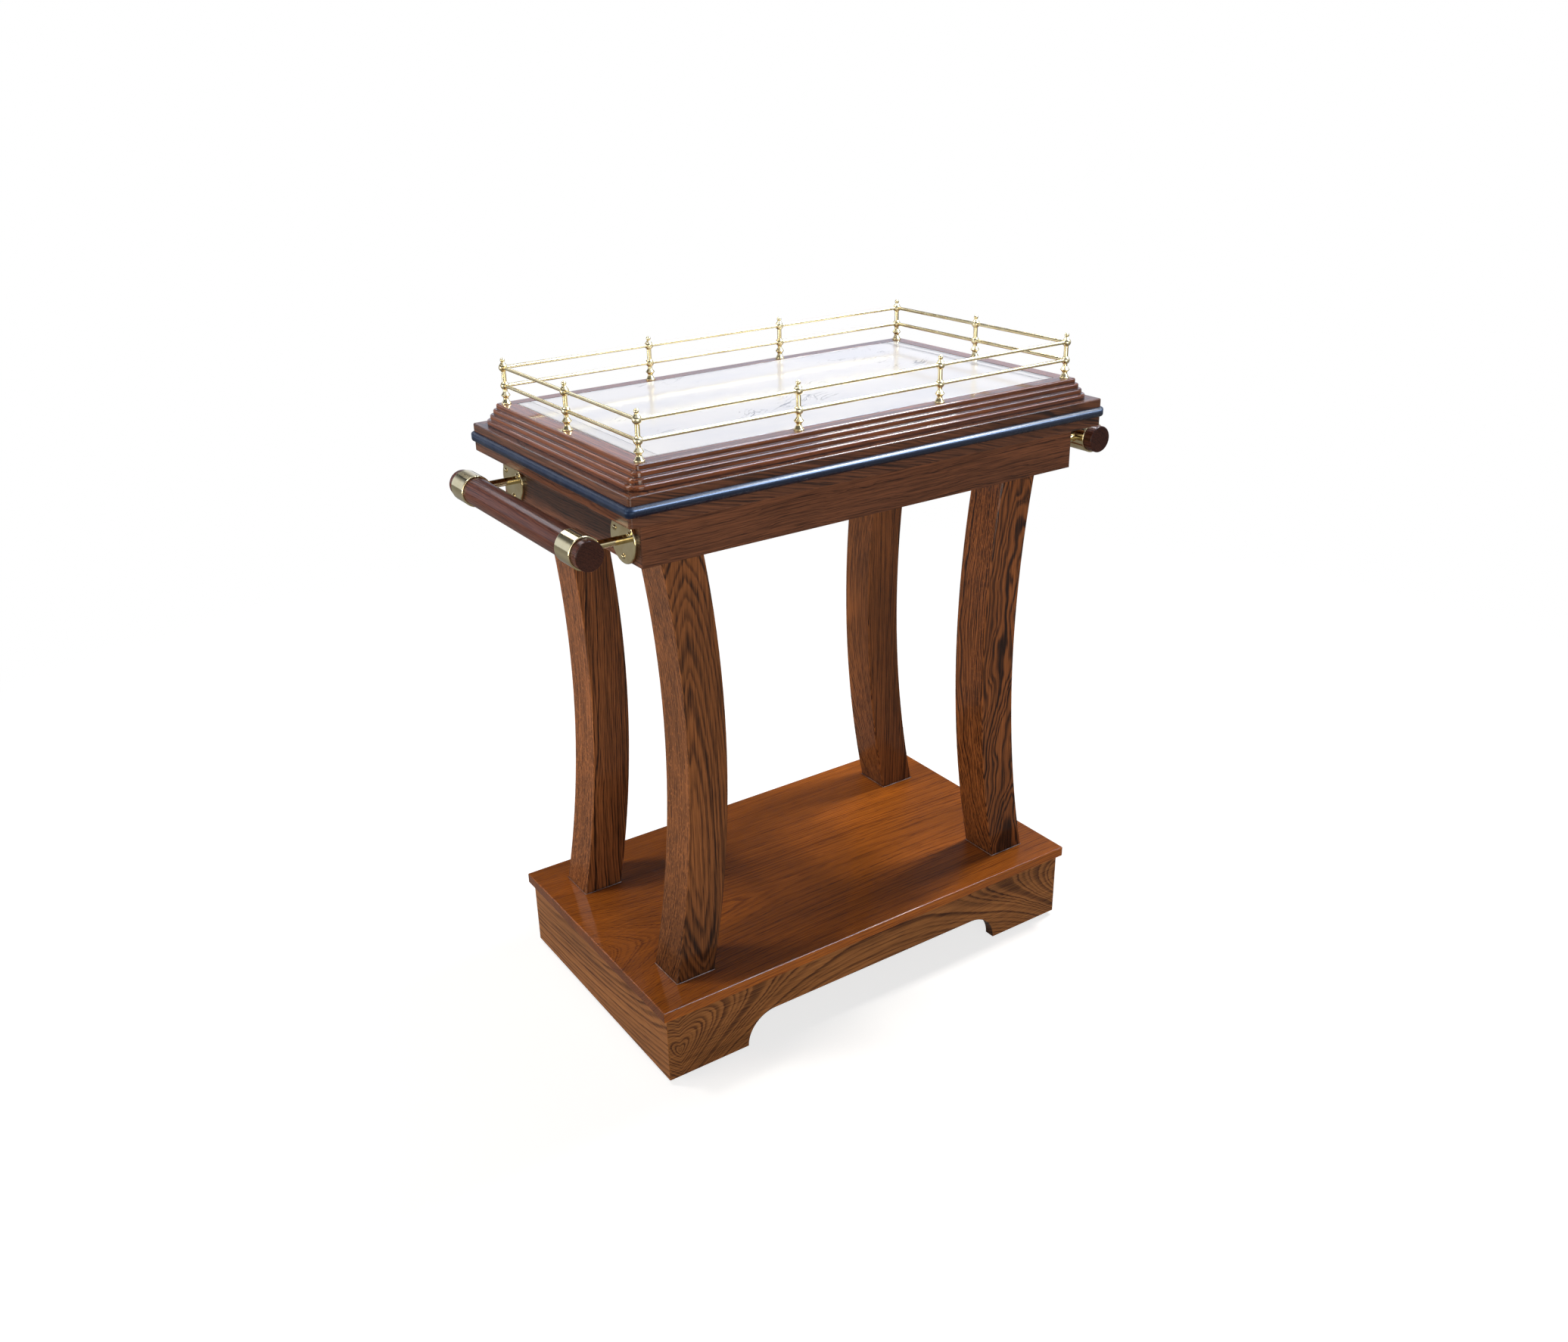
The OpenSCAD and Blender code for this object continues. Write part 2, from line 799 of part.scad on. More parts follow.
module handle_collars(sx) {
    color(BRASS)
        for (y = [-1, 1])
            translate([sx * bar_x, y * collar_y, bar_z])
                difference() {
                    rounded_bar(bar_d + 2 * collar_wall, collar_l, collar_edge_r);
                    rotate([90, 0, 0])
                        cylinder(h = collar_l + 1, d = bar_d + 2 * bore_gap, center = true);
                }
}

// Places children on the apron's end face where a rosette sits. There z points out of the face,
// and x points down.
module each_rosette(sx) {
    for (y = [-1, 1])
        translate([sx * apron_x, y * collar_y, bar_z])
            rotate([0, sx * 90, 0])
                rotate([0, 0, sx > 0 ? 0 : 180])
                    children();
}

// Places a child at each screw of a rosette, the first one straight down
module each_rosette_screw() {
    for (i = [0 : rosette_screws_n - 1])
        rotate([0, 0, 360 * i / rosette_screws_n])
            translate([rosette_screw_r, 0, 0])
                children();
}

// Straight arms from the rosettes to the collars, each with a screw thread into the apron
module handle_arms(sx) {
    color(BRASS)
        difference() {
            each_rosette(sx) {
                translate([0, 0, rosette_t])
                    cylinder(h = bar_reach - rosette_t, d = arm_d);
                translate([0, 0, -arm_stud_reach])
                    cylinder(h = arm_stud_reach + rosette_t, d = arm_stud_d);
            }
            translate([sx * bar_x, 0, bar_z])
                rotate([90, 0, 0])
                    cylinder(h = bar_l, d = bar_d + 2 * collar_wall + 2 * bore_gap, center = true);
        }
}

module rosette_outline() {
    square([rosette_d / 2 - rosette_edge_r, rosette_t]);
    square([rosette_d / 2, rosette_t - rosette_edge_r]);
    translate([rosette_d / 2 - rosette_edge_r, rosette_t - rosette_edge_r])
        circle(rosette_edge_r, $fn = 32);
}

module handle_rosettes() {
    color(BRASS)
        for (e = ENDS)
            each_rosette(e[1])
                difference() {
                    rotate_extrude($fn = 96)
                        rosette_outline();
                    translate([0, 0, -EPS])
                        cylinder(h = rosette_t + 2 * EPS, d = arm_stud_d + 2 * bore_gap);
                    each_rosette_screw()
                        translate([0, 0, -EPS])
                            cylinder(h = rosette_t + 2 * EPS, d = rosette_screw_d + 2 * bore_gap);
                }
}

// Round-headed screws with a slot
module rosette_screws() {
    dome_r = (rosette_head_d * rosette_head_d / 4 + rosette_head_t * rosette_head_t) / (2 * rosette_head_t);
    color(BRASS)
        for (e = ENDS)
            each_rosette(e[1])
                each_rosette_screw() {
                    down(rosette_screw_d, rosette_screw_reach);
                    cylinder(h = rosette_t, d = rosette_screw_d);
                    translate([0, 0, rosette_t])
                        difference() {
                            intersection() {
                                cylinder(h = rosette_head_t, d = rosette_head_d);
                                translate([0, 0, rosette_head_t - dome_r])
                                    sphere(dome_r);
                            }
                            translate([0, 0, rosette_head_t])
                                cube([rosette_head_d, rosette_slot_w, rosette_head_t], center = true);
                        }
                }
}

// Square plates with the upper race and the riveted pin that each fork turns on
module caster_plates() {
    color(ZINC)
        each_caster() {
            difference() {
                translate([0, 0, caster_h - plate_t / 2])
                    linear_extrude(plate_t, center = true)
                        rounded_square(plate_side, plate_side, plate_corner_r);
                translate([0, 0, caster_h + EPS])
                    each_plate_hole()
                        down(plate_screw_d + 2 * bore_gap, plate_t + 2 * EPS);
            }
            translate([0, 0, race_z])
                cylinder(h = race_h, r = race_r);
            translate([0, 0, pin_head_z])
                cylinder(h = race_z - pin_head_z, d = kingpin_d);
            translate([0, 0, pin_head_z - pin_head_t])
                cylinder(h = pin_head_t, r = pin_head_r);
        }
}

// A fork's two cheeks, seen from the side, with the axle's boss at the trailing end
module cheek_outline() {
    polygon([
        [-0.65 * fork_r, fork_top_z], [0.6 * fork_r, fork_top_z],
        [axle_boss_r - caster_trail, wheel_d / 2], [-axle_boss_r - caster_trail, wheel_d / 2]
    ]);
    translate([-caster_trail, wheel_d / 2])
        circle(axle_boss_r);
}

module caster_fork(sx, sy) {
    color(ZINC)
        translate([sx * caster_x, sy * caster_y, 0])
            difference() {
                union() {
                    translate([0, 0, fork_low_z])
                        cylinder(h = fork_t, r = fork_r);
                    for (y = [-1, 1])
                        translate([0, y * (cheek_y + fork_t / 2), 0])
                            rotate([90, 0, 0])
                                linear_extrude(fork_t, center = true)
                                    cheek_outline();
                }
                translate([0, 0, fork_top_z + EPS])
                    down(kingpin_d + 2 * bore_gap, fork_t + 2 * EPS);
                translate([-caster_trail, 0, wheel_d / 2])
                    rotate([90, 0, 0])
                        cylinder(h = 4 * wheel_w, d = axle_d + 2 * bore_gap, center = true);
            }
}

// Axle bolt with its head at one cheek and a nut at the other
module caster_axle(sx, sy) {
    cheek_out = cheek_y + fork_t;
    color(ZINC)
        translate([sx * caster_x - caster_trail, sy * caster_y, wheel_d / 2])
            rotate([90, 0, 0]) {
                translate([0, 0, -cheek_out - nut_t - axle_tail])
                    cylinder(h = 2 * cheek_out + nut_t + axle_tail, d = axle_d);
                translate([0, 0, cheek_out])
                    cylinder(h = axle_head_t, r = axle_head_r);
                translate([0, 0, -cheek_out - nut_t])
                    cylinder(h = nut_t, r = nut_r, $fn = 6);
            }
}

module caster_wheel(sx, sy) {
    rim_r = 3;
    dish_rim = 6;
    color(TREAD)
        translate([sx * caster_x - caster_trail, sy * caster_y, wheel_d / 2])
            rotate([90, 0, 0])
                difference() {
                    union() {
                        rotate_extrude()
                            intersection() {
                                rounded_square(wheel_d, wheel_w, rim_r);
                                translate([0, -wheel_w])
                                    square([wheel_d, 2 * wheel_w]);
                            }
                        cylinder(h = wheel_w + 2 * hub_over, r = hub_r, center = true);
                    }
                    cylinder(h = 2 * wheel_w, d = axle_d + 2 * bore_gap, center = true);
                    // Shallow dish in each face, between the hub and the rim
                    for (z = [-1, 1])
                        translate([0, 0, z * wheel_w / 2])
                            difference() {
                                cylinder(h = wheel_w / 4, r = wheel_d / 2 - dish_rim, center = true);
                                cylinder(h = wheel_w / 2, r = hub_r, center = true);
                            }
                }
}

module caster_screws() {
    color(ZINC)
        each_caster()
            each_plate_hole()
                translate([0, 0, caster_h - plate_t]) {
                    cylinder(h = plate_screw_l, d = plate_screw_d);
                    translate([0, 0, -plate_screw_head_t])
                        cylinder(h = plate_screw_head_t, d = plate_screw_head_d);
                }
}

base_board();
corner_blocks();
for (s = [0 : 3]) skirt(s);
for (c = CORNERS) leg(c[1], c[2]);
leg_fixings();
for (s = [0 : 3]) apron(s);
for (s = [0 : 3]) top_edge(s);
rubber_bumper();
for (s = [0 : 3]) moulding(s);
marble_bed();
marble_top();
for (p = POSTS) gallery_post(p);
rails(upper_rail_z);  // upper_rails
rails(lower_rail_z);  // lower_rails
for (e = ENDS) handle_bar(e[1]);
for (e = ENDS) handle_collars(e[1]);
for (e = ENDS) handle_arms(e[1]);
handle_rosettes();
rosette_screws();
caster_plates();
for (c = CORNERS) caster_fork(c[1], c[2]);
for (c = CORNERS) caster_axle(c[1], c[2]);
for (c = CORNERS) caster_wheel(c[1], c[2]);
caster_screws();
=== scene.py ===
"""Tea trolley: finishes, small details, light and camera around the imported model.

Lengths are in metres. X runs along the trolley, the camera stands at its near left corner.
"""
import math
import random

import bmesh
import bpy
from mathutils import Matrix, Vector


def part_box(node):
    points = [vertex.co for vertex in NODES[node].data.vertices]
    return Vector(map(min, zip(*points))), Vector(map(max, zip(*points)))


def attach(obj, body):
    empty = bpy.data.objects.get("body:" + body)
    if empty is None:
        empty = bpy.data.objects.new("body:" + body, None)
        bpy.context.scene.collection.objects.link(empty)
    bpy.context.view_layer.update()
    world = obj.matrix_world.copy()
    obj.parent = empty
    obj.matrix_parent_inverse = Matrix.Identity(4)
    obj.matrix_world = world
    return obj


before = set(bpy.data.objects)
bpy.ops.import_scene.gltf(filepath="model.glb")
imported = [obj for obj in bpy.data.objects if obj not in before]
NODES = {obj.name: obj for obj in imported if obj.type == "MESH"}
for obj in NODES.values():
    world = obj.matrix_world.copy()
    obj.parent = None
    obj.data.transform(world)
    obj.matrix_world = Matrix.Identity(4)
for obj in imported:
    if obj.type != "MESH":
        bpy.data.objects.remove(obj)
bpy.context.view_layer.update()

CORNERS = ("front_left", "front_right", "back_left", "back_right")
SIDES = ("front", "right", "back", "left")

# The photograph's frame and the camera that was fitted to it, in pixels, metres and degrees
PHOTO_WIDTH = 2072
FOCAL_LENGTH = 1849.47
CENTRE_LEFT = 51.1  # how far the lens axis lies left of the middle of the frame
CAMERA_PLACE = (-1.0781, -1.5780, 1.3140)
CAMERA_YAW = -32.187
CAMERA_PITCH = -24.079
CAMERA_ROLL = -1.895
SENSOR = 36.0

WHITE = (1.0, 1.0, 1.0, 1.0)


# Nodes

def paint(red, green, blue):
    """A colour given as screen values from 0 to 255, in the linear form that shaders take."""
    def linear(value):
        value /= 255
        return value / 12.92 if value <= 0.04045 else ((value + 0.055) / 1.055) ** 2.4
    return (linear(red), linear(green), linear(blue), 1.0)


def add(tree, kind, inputs=None, **settings):
    """Adds a node with its settings. An input takes a value or another node's output."""
    made = tree.nodes.new(kind)
    for name, value in settings.items():
        setattr(made, name, value)
    for key, value in (inputs or {}).items():
        if isinstance(value, bpy.types.NodeSocket):
            tree.links.new(value, made.inputs[key])
        else:
            made.inputs[key].default_value = value
    return made


def calc(tree, operation, a, b=0.0, c=0.0):
    """The result of one sum on numbers or outputs."""
    return add(tree, "ShaderNodeMath", {0: a, 1: b, 2: c}, operation=operation).outputs[0]


def vector(tree, operation, a, b=(0.0, 0.0, 0.0)):
    """The result of one sum on vectors."""
    return add(tree, "ShaderNodeVectorMath", {0: a, 1: b}, operation=operation).outputs[0]


def scaled(tree, place, size):
    """A vector or colour times a number."""
    return add(tree, "ShaderNodeVectorMath", {0: place, "Scale": size}, operation="SCALE").outputs[0]


def joined(tree, x=0.0, y=0.0, z=0.0):
    """A vector made of three numbers."""
    return add(tree, "ShaderNodeCombineXYZ", {0: x, 1: y, 2: z}).outputs[0]


def parts_of(tree, value):
    """The three numbers of a vector."""
    return add(tree, "ShaderNodeSeparateXYZ", {0: value}).outputs


def spun(tree, value, angle):
    """A vector turned about Z."""
    return add(tree, "ShaderNodeVectorRotate", {"Vector": value, "Angle": angle},
               rotation_type="Z_AXIS").outputs[0]


def noise(tree, place, per_metre, detail=2.0, output="Fac"):
    """Noise with about that many features in a metre along each axis."""
    spot = vector(tree, "MULTIPLY", place, per_metre)
    made = add(tree, "ShaderNodeTexNoise", {"Vector": spot, "Scale": 1.0, "Detail": detail})
    return made.outputs[output]


def noise_along(tree, value, detail=1.0):
    """Noise that depends on one number alone."""
    made = add(tree, "ShaderNodeTexNoise", {"W": value, "Scale": 1.0, "Detail": detail},
               noise_dimensions="1D")
    return made.outputs["Fac"]


def fade(tree, value, start, end, low=0.0, high=1.0):
    """A soft step: low below start, high above end."""
    made = add(tree, "ShaderNodeMapRange", {0: value, 1: start, 2: end, 3: low, 4: high},
               interpolation_type="SMOOTHSTEP")
    return made.outputs[0]


def ramp(tree, value, stops):
    """A number between 0 and 1 turned into another by (position, level) stops."""
    made = add(tree, "ShaderNodeValToRGB", {0: value})
    band = made.color_ramp.elements
    band[0].position = stops[0][0]
    band[1].position = stops[-1][0]
    for position, _ in stops[1:-1]:
        band.new(position)
    for element, (_, level) in zip(band, stops):
        element.color = (level, level, level, 1.0)
    return made.outputs["Color"]


def mix(tree, share, a, b):
    """Two colours mixed: a where the share is 0, b where it is 1."""
    return add(tree, "ShaderNodeMix", {0: share, 6: a, 7: b}, data_type="RGBA").outputs[2]


def object_place(tree):
    """Places on the piece, in metres, which stay on it when it moves."""
    return add(tree, "ShaderNodeTexCoord").outputs["Object"]


def bumped(tree, height, distance, strength=1.0, normal=None):
    """The surface's normal after a height in units of distance."""
    inputs = {"Height": height, "Distance": distance, "Strength": strength}
    if normal is not None:
        inputs["Normal"] = normal
    return add(tree, "ShaderNodeBump", inputs).outputs[0]


def eased(tree, radius=0.0012):
    """The surface's normal with the sharp edges eased, so that they catch the light."""
    return add(tree, "ShaderNodeBevel", {"Radius": radius}, samples=4).outputs[0]


def open_share(tree, reach):
    """How open the surface is to its near surroundings: 1 out in the open, less in a corner."""
    return add(tree, "ShaderNodeAmbientOcclusion", {"Distance": reach}, samples=4).outputs["AO"]


def material(name):
    """An empty material and its tree."""
    made = bpy.data.materials.new(name)
    made.use_nodes = True
    made.node_tree.nodes.clear()
    return made, made.node_tree


def finish_with(tree, shader):
    """Joins a shader to the material's output."""
    add(tree, "ShaderNodeOutputMaterial", {"Surface": shader.outputs[0]})


def dress(name, finish):
    """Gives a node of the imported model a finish."""
    for slot in NODES[name].material_slots:
        slot.link = "OBJECT"
        slot.material = finish


# Wood

# How a board lies in its log. The pith runs along the grain at a depth behind the board's face. At either end
# it may come to the face or leave it: a dip of 1 makes an eye there, a dip below 0 makes arches.
GRAIN = {
    "Ring": 0.0045,  # width of a year's growth
    "Depth": 0.06,  # how far the pith lies behind the face
    "Start": -9.0,  # where the board starts along its grain, or far away if nothing happens there
    "Start reach": 0.1,
    "Start dip": 0.0,
    "End": 9.0,  # where it ends, in the same way
    "End reach": 0.1,
    "End dip": 0.0,
    "Rise": 0.0,  # how far across the board the pith lies away from both ends
    "Slope": 0.01,  # how fast the pith sinks along the board
    "Point": 0.0,  # how pointed the arches are
    "Waves": 2.6,  # swings of the grain in a metre
    "Wander": 0.006,  # how wide they swing
    "Jag": 0.0012,  # how ragged the lines of the years are
    "Contrast": 0.85,  # how dark the lines of the years are
    "Calm": 0.0,  # how much the contrast drops away from both ends
    "Uneven": 0.65,  # how much the years differ
    "Streaks": 1.0,  # how strong the fibres show
    "Foot shade": 0.0,  # how much darker the wood is at its start, a painted shade
    "Rays": 0.0,  # how strong the flecks of the rays show
    "Seed": 0.0,
}

# The shade across one year, from its start to its end
YEAR = [(0.0, 0.7), (0.12, 1.0), (0.3, 0.7), (0.5, 0.15), (0.86, 0.0), (1.0, 0.7)]
# How many features each pattern has in a metre: along the grain, across it and into the board
SWINGS_ACROSS = 12.0
JAGS = (26.0, 240.0, 240.0)
FIBRES = (8.0, 420.0, 420.0)
STRANDS = (22.0, 900.0, 900.0)
PORES = (50.0, 1500.0, 1500.0)
MOTTLES = (3.5, 16.0, 16.0)
FLECKS = (60.0, 420.0, 420.0)
SEED_STEP = (1.7, 0.9, 2.3)  # how far a seed moves the patterns
YEARS_PER_SWELL = 0.45  # how fast the years' width changes from one year to the next
YEARS_SWELL = 1.6  # how far that moves the lines, in years
FLECK_SLANT = 0.35  # how far the flecks lie off the grain
FIBRE_SHADE = 1.6  # how much the coarse and the fine fibres change the shade
STRAND_SHADE = 1.5
SHADE_RANGE = (-0.5, 1.05)  # the shades that give the light and the dark colour
PORE_SHARE = 0.65  # how dark the pores are
PORE_EDGES = (0.55, 0.68)  # the noise turns into pores between these
FLECK_EDGES = (0.57, 0.66)  # and into flecks between these
END_GRAIN_EDGES = (0.55, 0.95)  # how far a face looks along the grain before it darkens
END_GRAIN_SHARE = 0.6


def wood_grain():
    """The node group that turns a place in a board into colour, roughness and height."""
    tree = bpy.data.node_groups.new("wood_grain", "ShaderNodeTree")
    face = tree.interface
    for name in ("Place", "Normal"):
        face.new_socket(name=name, in_out="INPUT", socket_type="NodeSocketVector")
    for name, value in GRAIN.items():
        face.new_socket(name=name, in_out="INPUT", socket_type="NodeSocketFloat").default_value = value
    for name in ("Light", "Dark"):
        face.new_socket(name=name, in_out="INPUT", socket_type="NodeSocketColor")
    face.new_socket(name="Colour", in_out="OUTPUT", socket_type="NodeSocketColor")
    for name in ("Roughness", "Height"):
        face.new_socket(name=name, in_out="OUTPUT", socket_type="NodeSocketFloat")
    given = tree.nodes.new("NodeGroupInput").outputs

    seed = joined(tree, given["Seed"], given["Seed"], given["Seed"])
    spot = vector(tree, "ADD", given["Place"], vector(tree, "MULTIPLY", seed, SEED_STEP))
    swings = joined(tree, given["Waves"], SWINGS_ACROSS, SWINGS_ACROSS)
    drift = vector(tree, "SUBTRACT", noise(tree, spot, swings, 2.0, "Color"), (0.5, 0.5, 0.5))
    wander = calc(tree, "MULTIPLY", given["Wander"], 2.0)
    moved = vector(tree, "ADD", given["Place"], scaled(tree, drift, wander))
    x, y, z = parts_of(tree, moved)

    def closing(distance, reach):
        """One at an end of the board, falling to nothing within a few reaches of it."""
        share = calc(tree, "DIVIDE", calc(tree, "ABSOLUTE", distance), reach)
        return calc(tree, "EXPONENT", calc(tree, "MULTIPLY", share, -1.0))

    start = closing(calc(tree, "SUBTRACT", x, given["Start"]), given["Start reach"])
    end = closing(calc(tree, "SUBTRACT", given["End"], x), given["End reach"])
    left = calc(tree, "SUBTRACT", 1.0, calc(tree, "MULTIPLY", start, given["Start dip"]))
    right = calc(tree, "SUBTRACT", 1.0, calc(tree, "MULTIPLY", end, given["End dip"]))
    depth = calc(tree, "MULTIPLY", calc(tree, "MULTIPLY", given["Depth"], left), right)
    depth = calc(tree, "ADD", depth, calc(tree, "MULTIPLY", x, given["Slope"]))
    away = calc(tree, "MULTIPLY", calc(tree, "SUBTRACT", 1.0, start), calc(tree, "SUBTRACT", 1.0, end))
    across = calc(tree, "SUBTRACT", y, calc(tree, "MULTIPLY", given["Rise"], away))
    behind = calc(tree, "SUBTRACT", z, depth)
    radius = calc(tree, "SQRT", calc(tree, "ADD", calc(tree, "MULTIPLY", across, across),
                                     calc(tree, "MULTIPLY", behind, behind)))
    radius = calc(tree, "ADD", radius, calc(tree, "MULTIPLY", given["Point"], calc(tree, "ABSOLUTE", across)))
    jag = calc(tree, "SUBTRACT", noise(tree, spot, JAGS, 2.0), 0.5)
    radius = calc(tree, "ADD", radius, calc(tree, "MULTIPLY", jag, calc(tree, "MULTIPLY", given["Jag"], 2.0)))
    rings = calc(tree, "DIVIDE", radius, given["Ring"])
    swell = calc(tree, "MULTIPLY", rings, YEARS_PER_SWELL)
    uneven = noise_along(tree, calc(tree, "ADD", swell, given["Seed"]))
    rings = calc(tree, "ADD", rings, calc(tree, "MULTIPLY", uneven, YEARS_SWELL))
    band = ramp(tree, calc(tree, "FRACT", rings), YEAR)
    year = add(tree, "ShaderNodeTexWhiteNoise", {"W": calc(tree, "FLOOR", rings)},
               noise_dimensions="1D").outputs[0]
    band = calc(tree, "MULTIPLY", band, calc(tree, "MULTIPLY_ADD", year, given["Uneven"],
                                                        calc(tree, "SUBTRACT", 1.0, given["Uneven"])))

    fibre = noise(tree, spot, FIBRES, 3.0)
    strand = noise(tree, spot, STRANDS, 2.0)
    pores = fade(tree, noise(tree, spot, PORES, 1.0), *PORE_EDGES)
    pores = calc(tree, "MULTIPLY", pores, calc(tree, "MULTIPLY_ADD", band, 0.7, 0.3))
    mottle = noise(tree, spot, MOTTLES, 3.0)

    # Flecks of the rays show on the faces that are cut along the log's radius
    nx, ny, nz = parts_of(tree, given["Normal"])
    facing = calc(tree, "ADD", calc(tree, "MULTIPLY", ny, across), calc(tree, "MULTIPLY", nz, behind))
    facing = calc(tree, "ABSOLUTE", calc(tree, "DIVIDE", facing, radius))
    flecks = noise(tree, spun(tree, spot, FLECK_SLANT), FLECKS, 1.0)
    flecks = fade(tree, flecks, *FLECK_EDGES)
    flecks = calc(tree, "MULTIPLY", flecks, fade(tree, facing, 0.75, 0.35))
    flecks = calc(tree, "MULTIPLY", flecks, given["Rays"])

    far = calc(tree, "SUBTRACT", 1.0, calc(tree, "MAXIMUM", start, end))
    kept = calc(tree, "SUBTRACT", 1.0, calc(tree, "MULTIPLY", far, given["Calm"]))
    shade = calc(tree, "MULTIPLY", band, calc(tree, "MULTIPLY", given["Contrast"], kept))
    streak = calc(tree, "MULTIPLY_ADD", calc(tree, "SUBTRACT", fibre, 0.5), FIBRE_SHADE,
                  calc(tree, "MULTIPLY", calc(tree, "SUBTRACT", strand, 0.5), STRAND_SHADE))
    shade = calc(tree, "MULTIPLY_ADD", streak, given["Streaks"], shade)
    shade = calc(tree, "SUBTRACT", shade, flecks)
    colour = mix(tree, fade(tree, shade, *SHADE_RANGE), given["Light"], given["Dark"])
    colour = scaled(tree, colour, calc(tree, "MULTIPLY_ADD", mottle, 1.3, 0.6))
    # painted shade: the wood is darker towards its start, which on the legs is the foot
    colour = scaled(tree, colour, calc(tree, "SUBTRACT", 1.0, calc(tree, "MULTIPLY", start, given["Foot shade"])))
    colour = mix(tree, calc(tree, "MULTIPLY", pores, PORE_SHARE), colour, scaled(tree, given["Dark"], 0.4))
    end_grain = fade(tree, calc(tree, "ABSOLUTE", nx), *END_GRAIN_EDGES)
    colour = mix(tree, calc(tree, "MULTIPLY", end_grain, END_GRAIN_SHARE), colour,
                 scaled(tree, given["Dark"], 0.75))

    height = calc(tree, "MULTIPLY_ADD", fibre, 0.35, calc(tree, "MULTIPLY", band, -0.25))
    height = calc(tree, "SUBTRACT", height, pores)
    roughness = calc(tree, "MULTIPLY_ADD", band, 0.12, calc(tree, "MULTIPLY_ADD", mottle, 0.16, 0.3))
    results = tree.nodes.new("NodeGroupOutput")
    for name, value in (("Colour", colour), ("Roughness", roughness), ("Height", height)):
        tree.links.new(value, results.inputs[name])
    return tree


WOOD_GRAIN = wood_grain()
CORNER_REACH = 0.006  # painted shade darkens the wood in corners that are this near to another surface
CORNER_SHADE_FADE = (0.35, 0.95, 0.2, 1.0)  # painted corner shade: from how open to how open a corner is, and how light the wood is there
GRAIN_HEIGHT = 0.00015
UNDER_LACQUER = 0.04  # the specular level of the wood itself
LACQUER_WAVES = (35.0, 35.0, 35.0)
LACQUER_HEIGHT = 0.0004
LACQUER_IOR = 1.5


def wood(name, axes, origin, light, dark, slant=0.0, coat=0.5, coat_roughness=0.15, **grain):
    """A lacquered board. Axes name the object's axes along the grain, across the face and into the board,
    the origin is a point of the face above the pith, and slant turns the grain in the face. The rest of the
    values are those of GRAIN."""
    made, tree = material(name)
    start = vector(tree, "SUBTRACT", object_place(tree), origin)

    def turned(value):
        parts = parts_of(tree, value)
        swapped = joined(tree, *(parts["XYZ".index(axis)] for axis in axes))
        return spun(tree, swapped, slant)

    normal = add(tree, "ShaderNodeTexCoord").outputs["Normal"]
    values = {"Place": turned(start), "Normal": turned(normal), "Light": light, "Dark": dark}
    values.update({key.replace("_", " ").capitalize(): value for key, value in grain.items()})
    group = tree.nodes.new("ShaderNodeGroup")
    group.node_tree = WOOD_GRAIN
    for key, value in values.items():
        if isinstance(value, bpy.types.NodeSocket):
            tree.links.new(value, group.inputs[key])
        else:
            group.inputs[key].default_value = value
    lacquer = noise(tree, object_place(tree), LACQUER_WAVES, 2.0)
    edges = eased(tree)
    # painted shade: the colour is darkened where the surface lies near another one, in corners and grooves
    painted_corner_shade = fade(tree, open_share(tree, CORNER_REACH), *CORNER_SHADE_FADE)
    shader = add(tree, "ShaderNodeBsdfPrincipled", {
        "Base Color": scaled(tree, group.outputs["Colour"], painted_corner_shade),
        "Roughness": group.outputs["Roughness"],
        "Specular IOR Level": UNDER_LACQUER,
        "Normal": bumped(tree, group.outputs["Height"], GRAIN_HEIGHT, normal=edges),
        "Coat Weight": coat,
        "Coat Roughness": coat_roughness,
        "Coat IOR": LACQUER_IOR,
        "Coat Normal": bumped(tree, lacquer, LACQUER_HEIGHT, 0.5, normal=edges),
    })
    finish_with(tree, shader)
    return made


# Stains
TAN = paint(162, 106, 58)
DULL_BROWN = paint(126, 78, 52)
DEEP_BROWN = paint(116, 71, 46)
ORANGE = paint(174, 97, 28)
RUST = paint(74, 32, 8)
LIT_BROWN = paint(150, 85, 45)
UMBER = paint(58, 29, 14)
NEARLY_BLACK = paint(36, 19, 12)


def side_axes(side):
    """Grain, face and depth axes of a board on that side of the trolley."""
    return "XZY" if side in ("front", "back") else "YZX"


FOOT_SLACK = 0.0005  # a leg's points this near its lowest belong to its foot


def foot_box(node):
    """Lowest and highest corner of a leg's foot, where it stands on the base board."""
    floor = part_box(node)[0].z
    points = [v.co for v in NODES[node].data.vertices if v.co.z < floor + FOOT_SLACK]
    return (Vector(min(p[i] for p in points) for i in range(3)),
            Vector(max(p[i] for p in points) for i in range(3)))


def outer_face(node, side):
    """Middle of a board's outer face, which looks away from the trolley."""
    low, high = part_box(node)
    middle = (low + high) / 2
    axis, end = {"front": (1, low), "back": (1, high), "left": (0, low), "right": (0, high)}[side]
    middle[axis] = end[axis]
    return middle


BASE_PITH = -0.046  # how far in front of the middle the pith of the base board lies


def dress_base():
    """The wide board of the plinth: warm, fine and straight in its grain, glossy."""
    low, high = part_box("base_board")
    dress("base_board", wood("base_wood", "XYZ", (low.x, BASE_PITH, high.z), ORANGE, RUST,
                             coat=0.9, coat_roughness=0.08, Ring=0.0025, Depth=0.16, Start=0.0,
                             Start_reach=0.09, Start_dip=0.2, Point=0.1, Wander=0.005, Contrast=0.55,
                             Streaks=0.6, Seed=3.0))


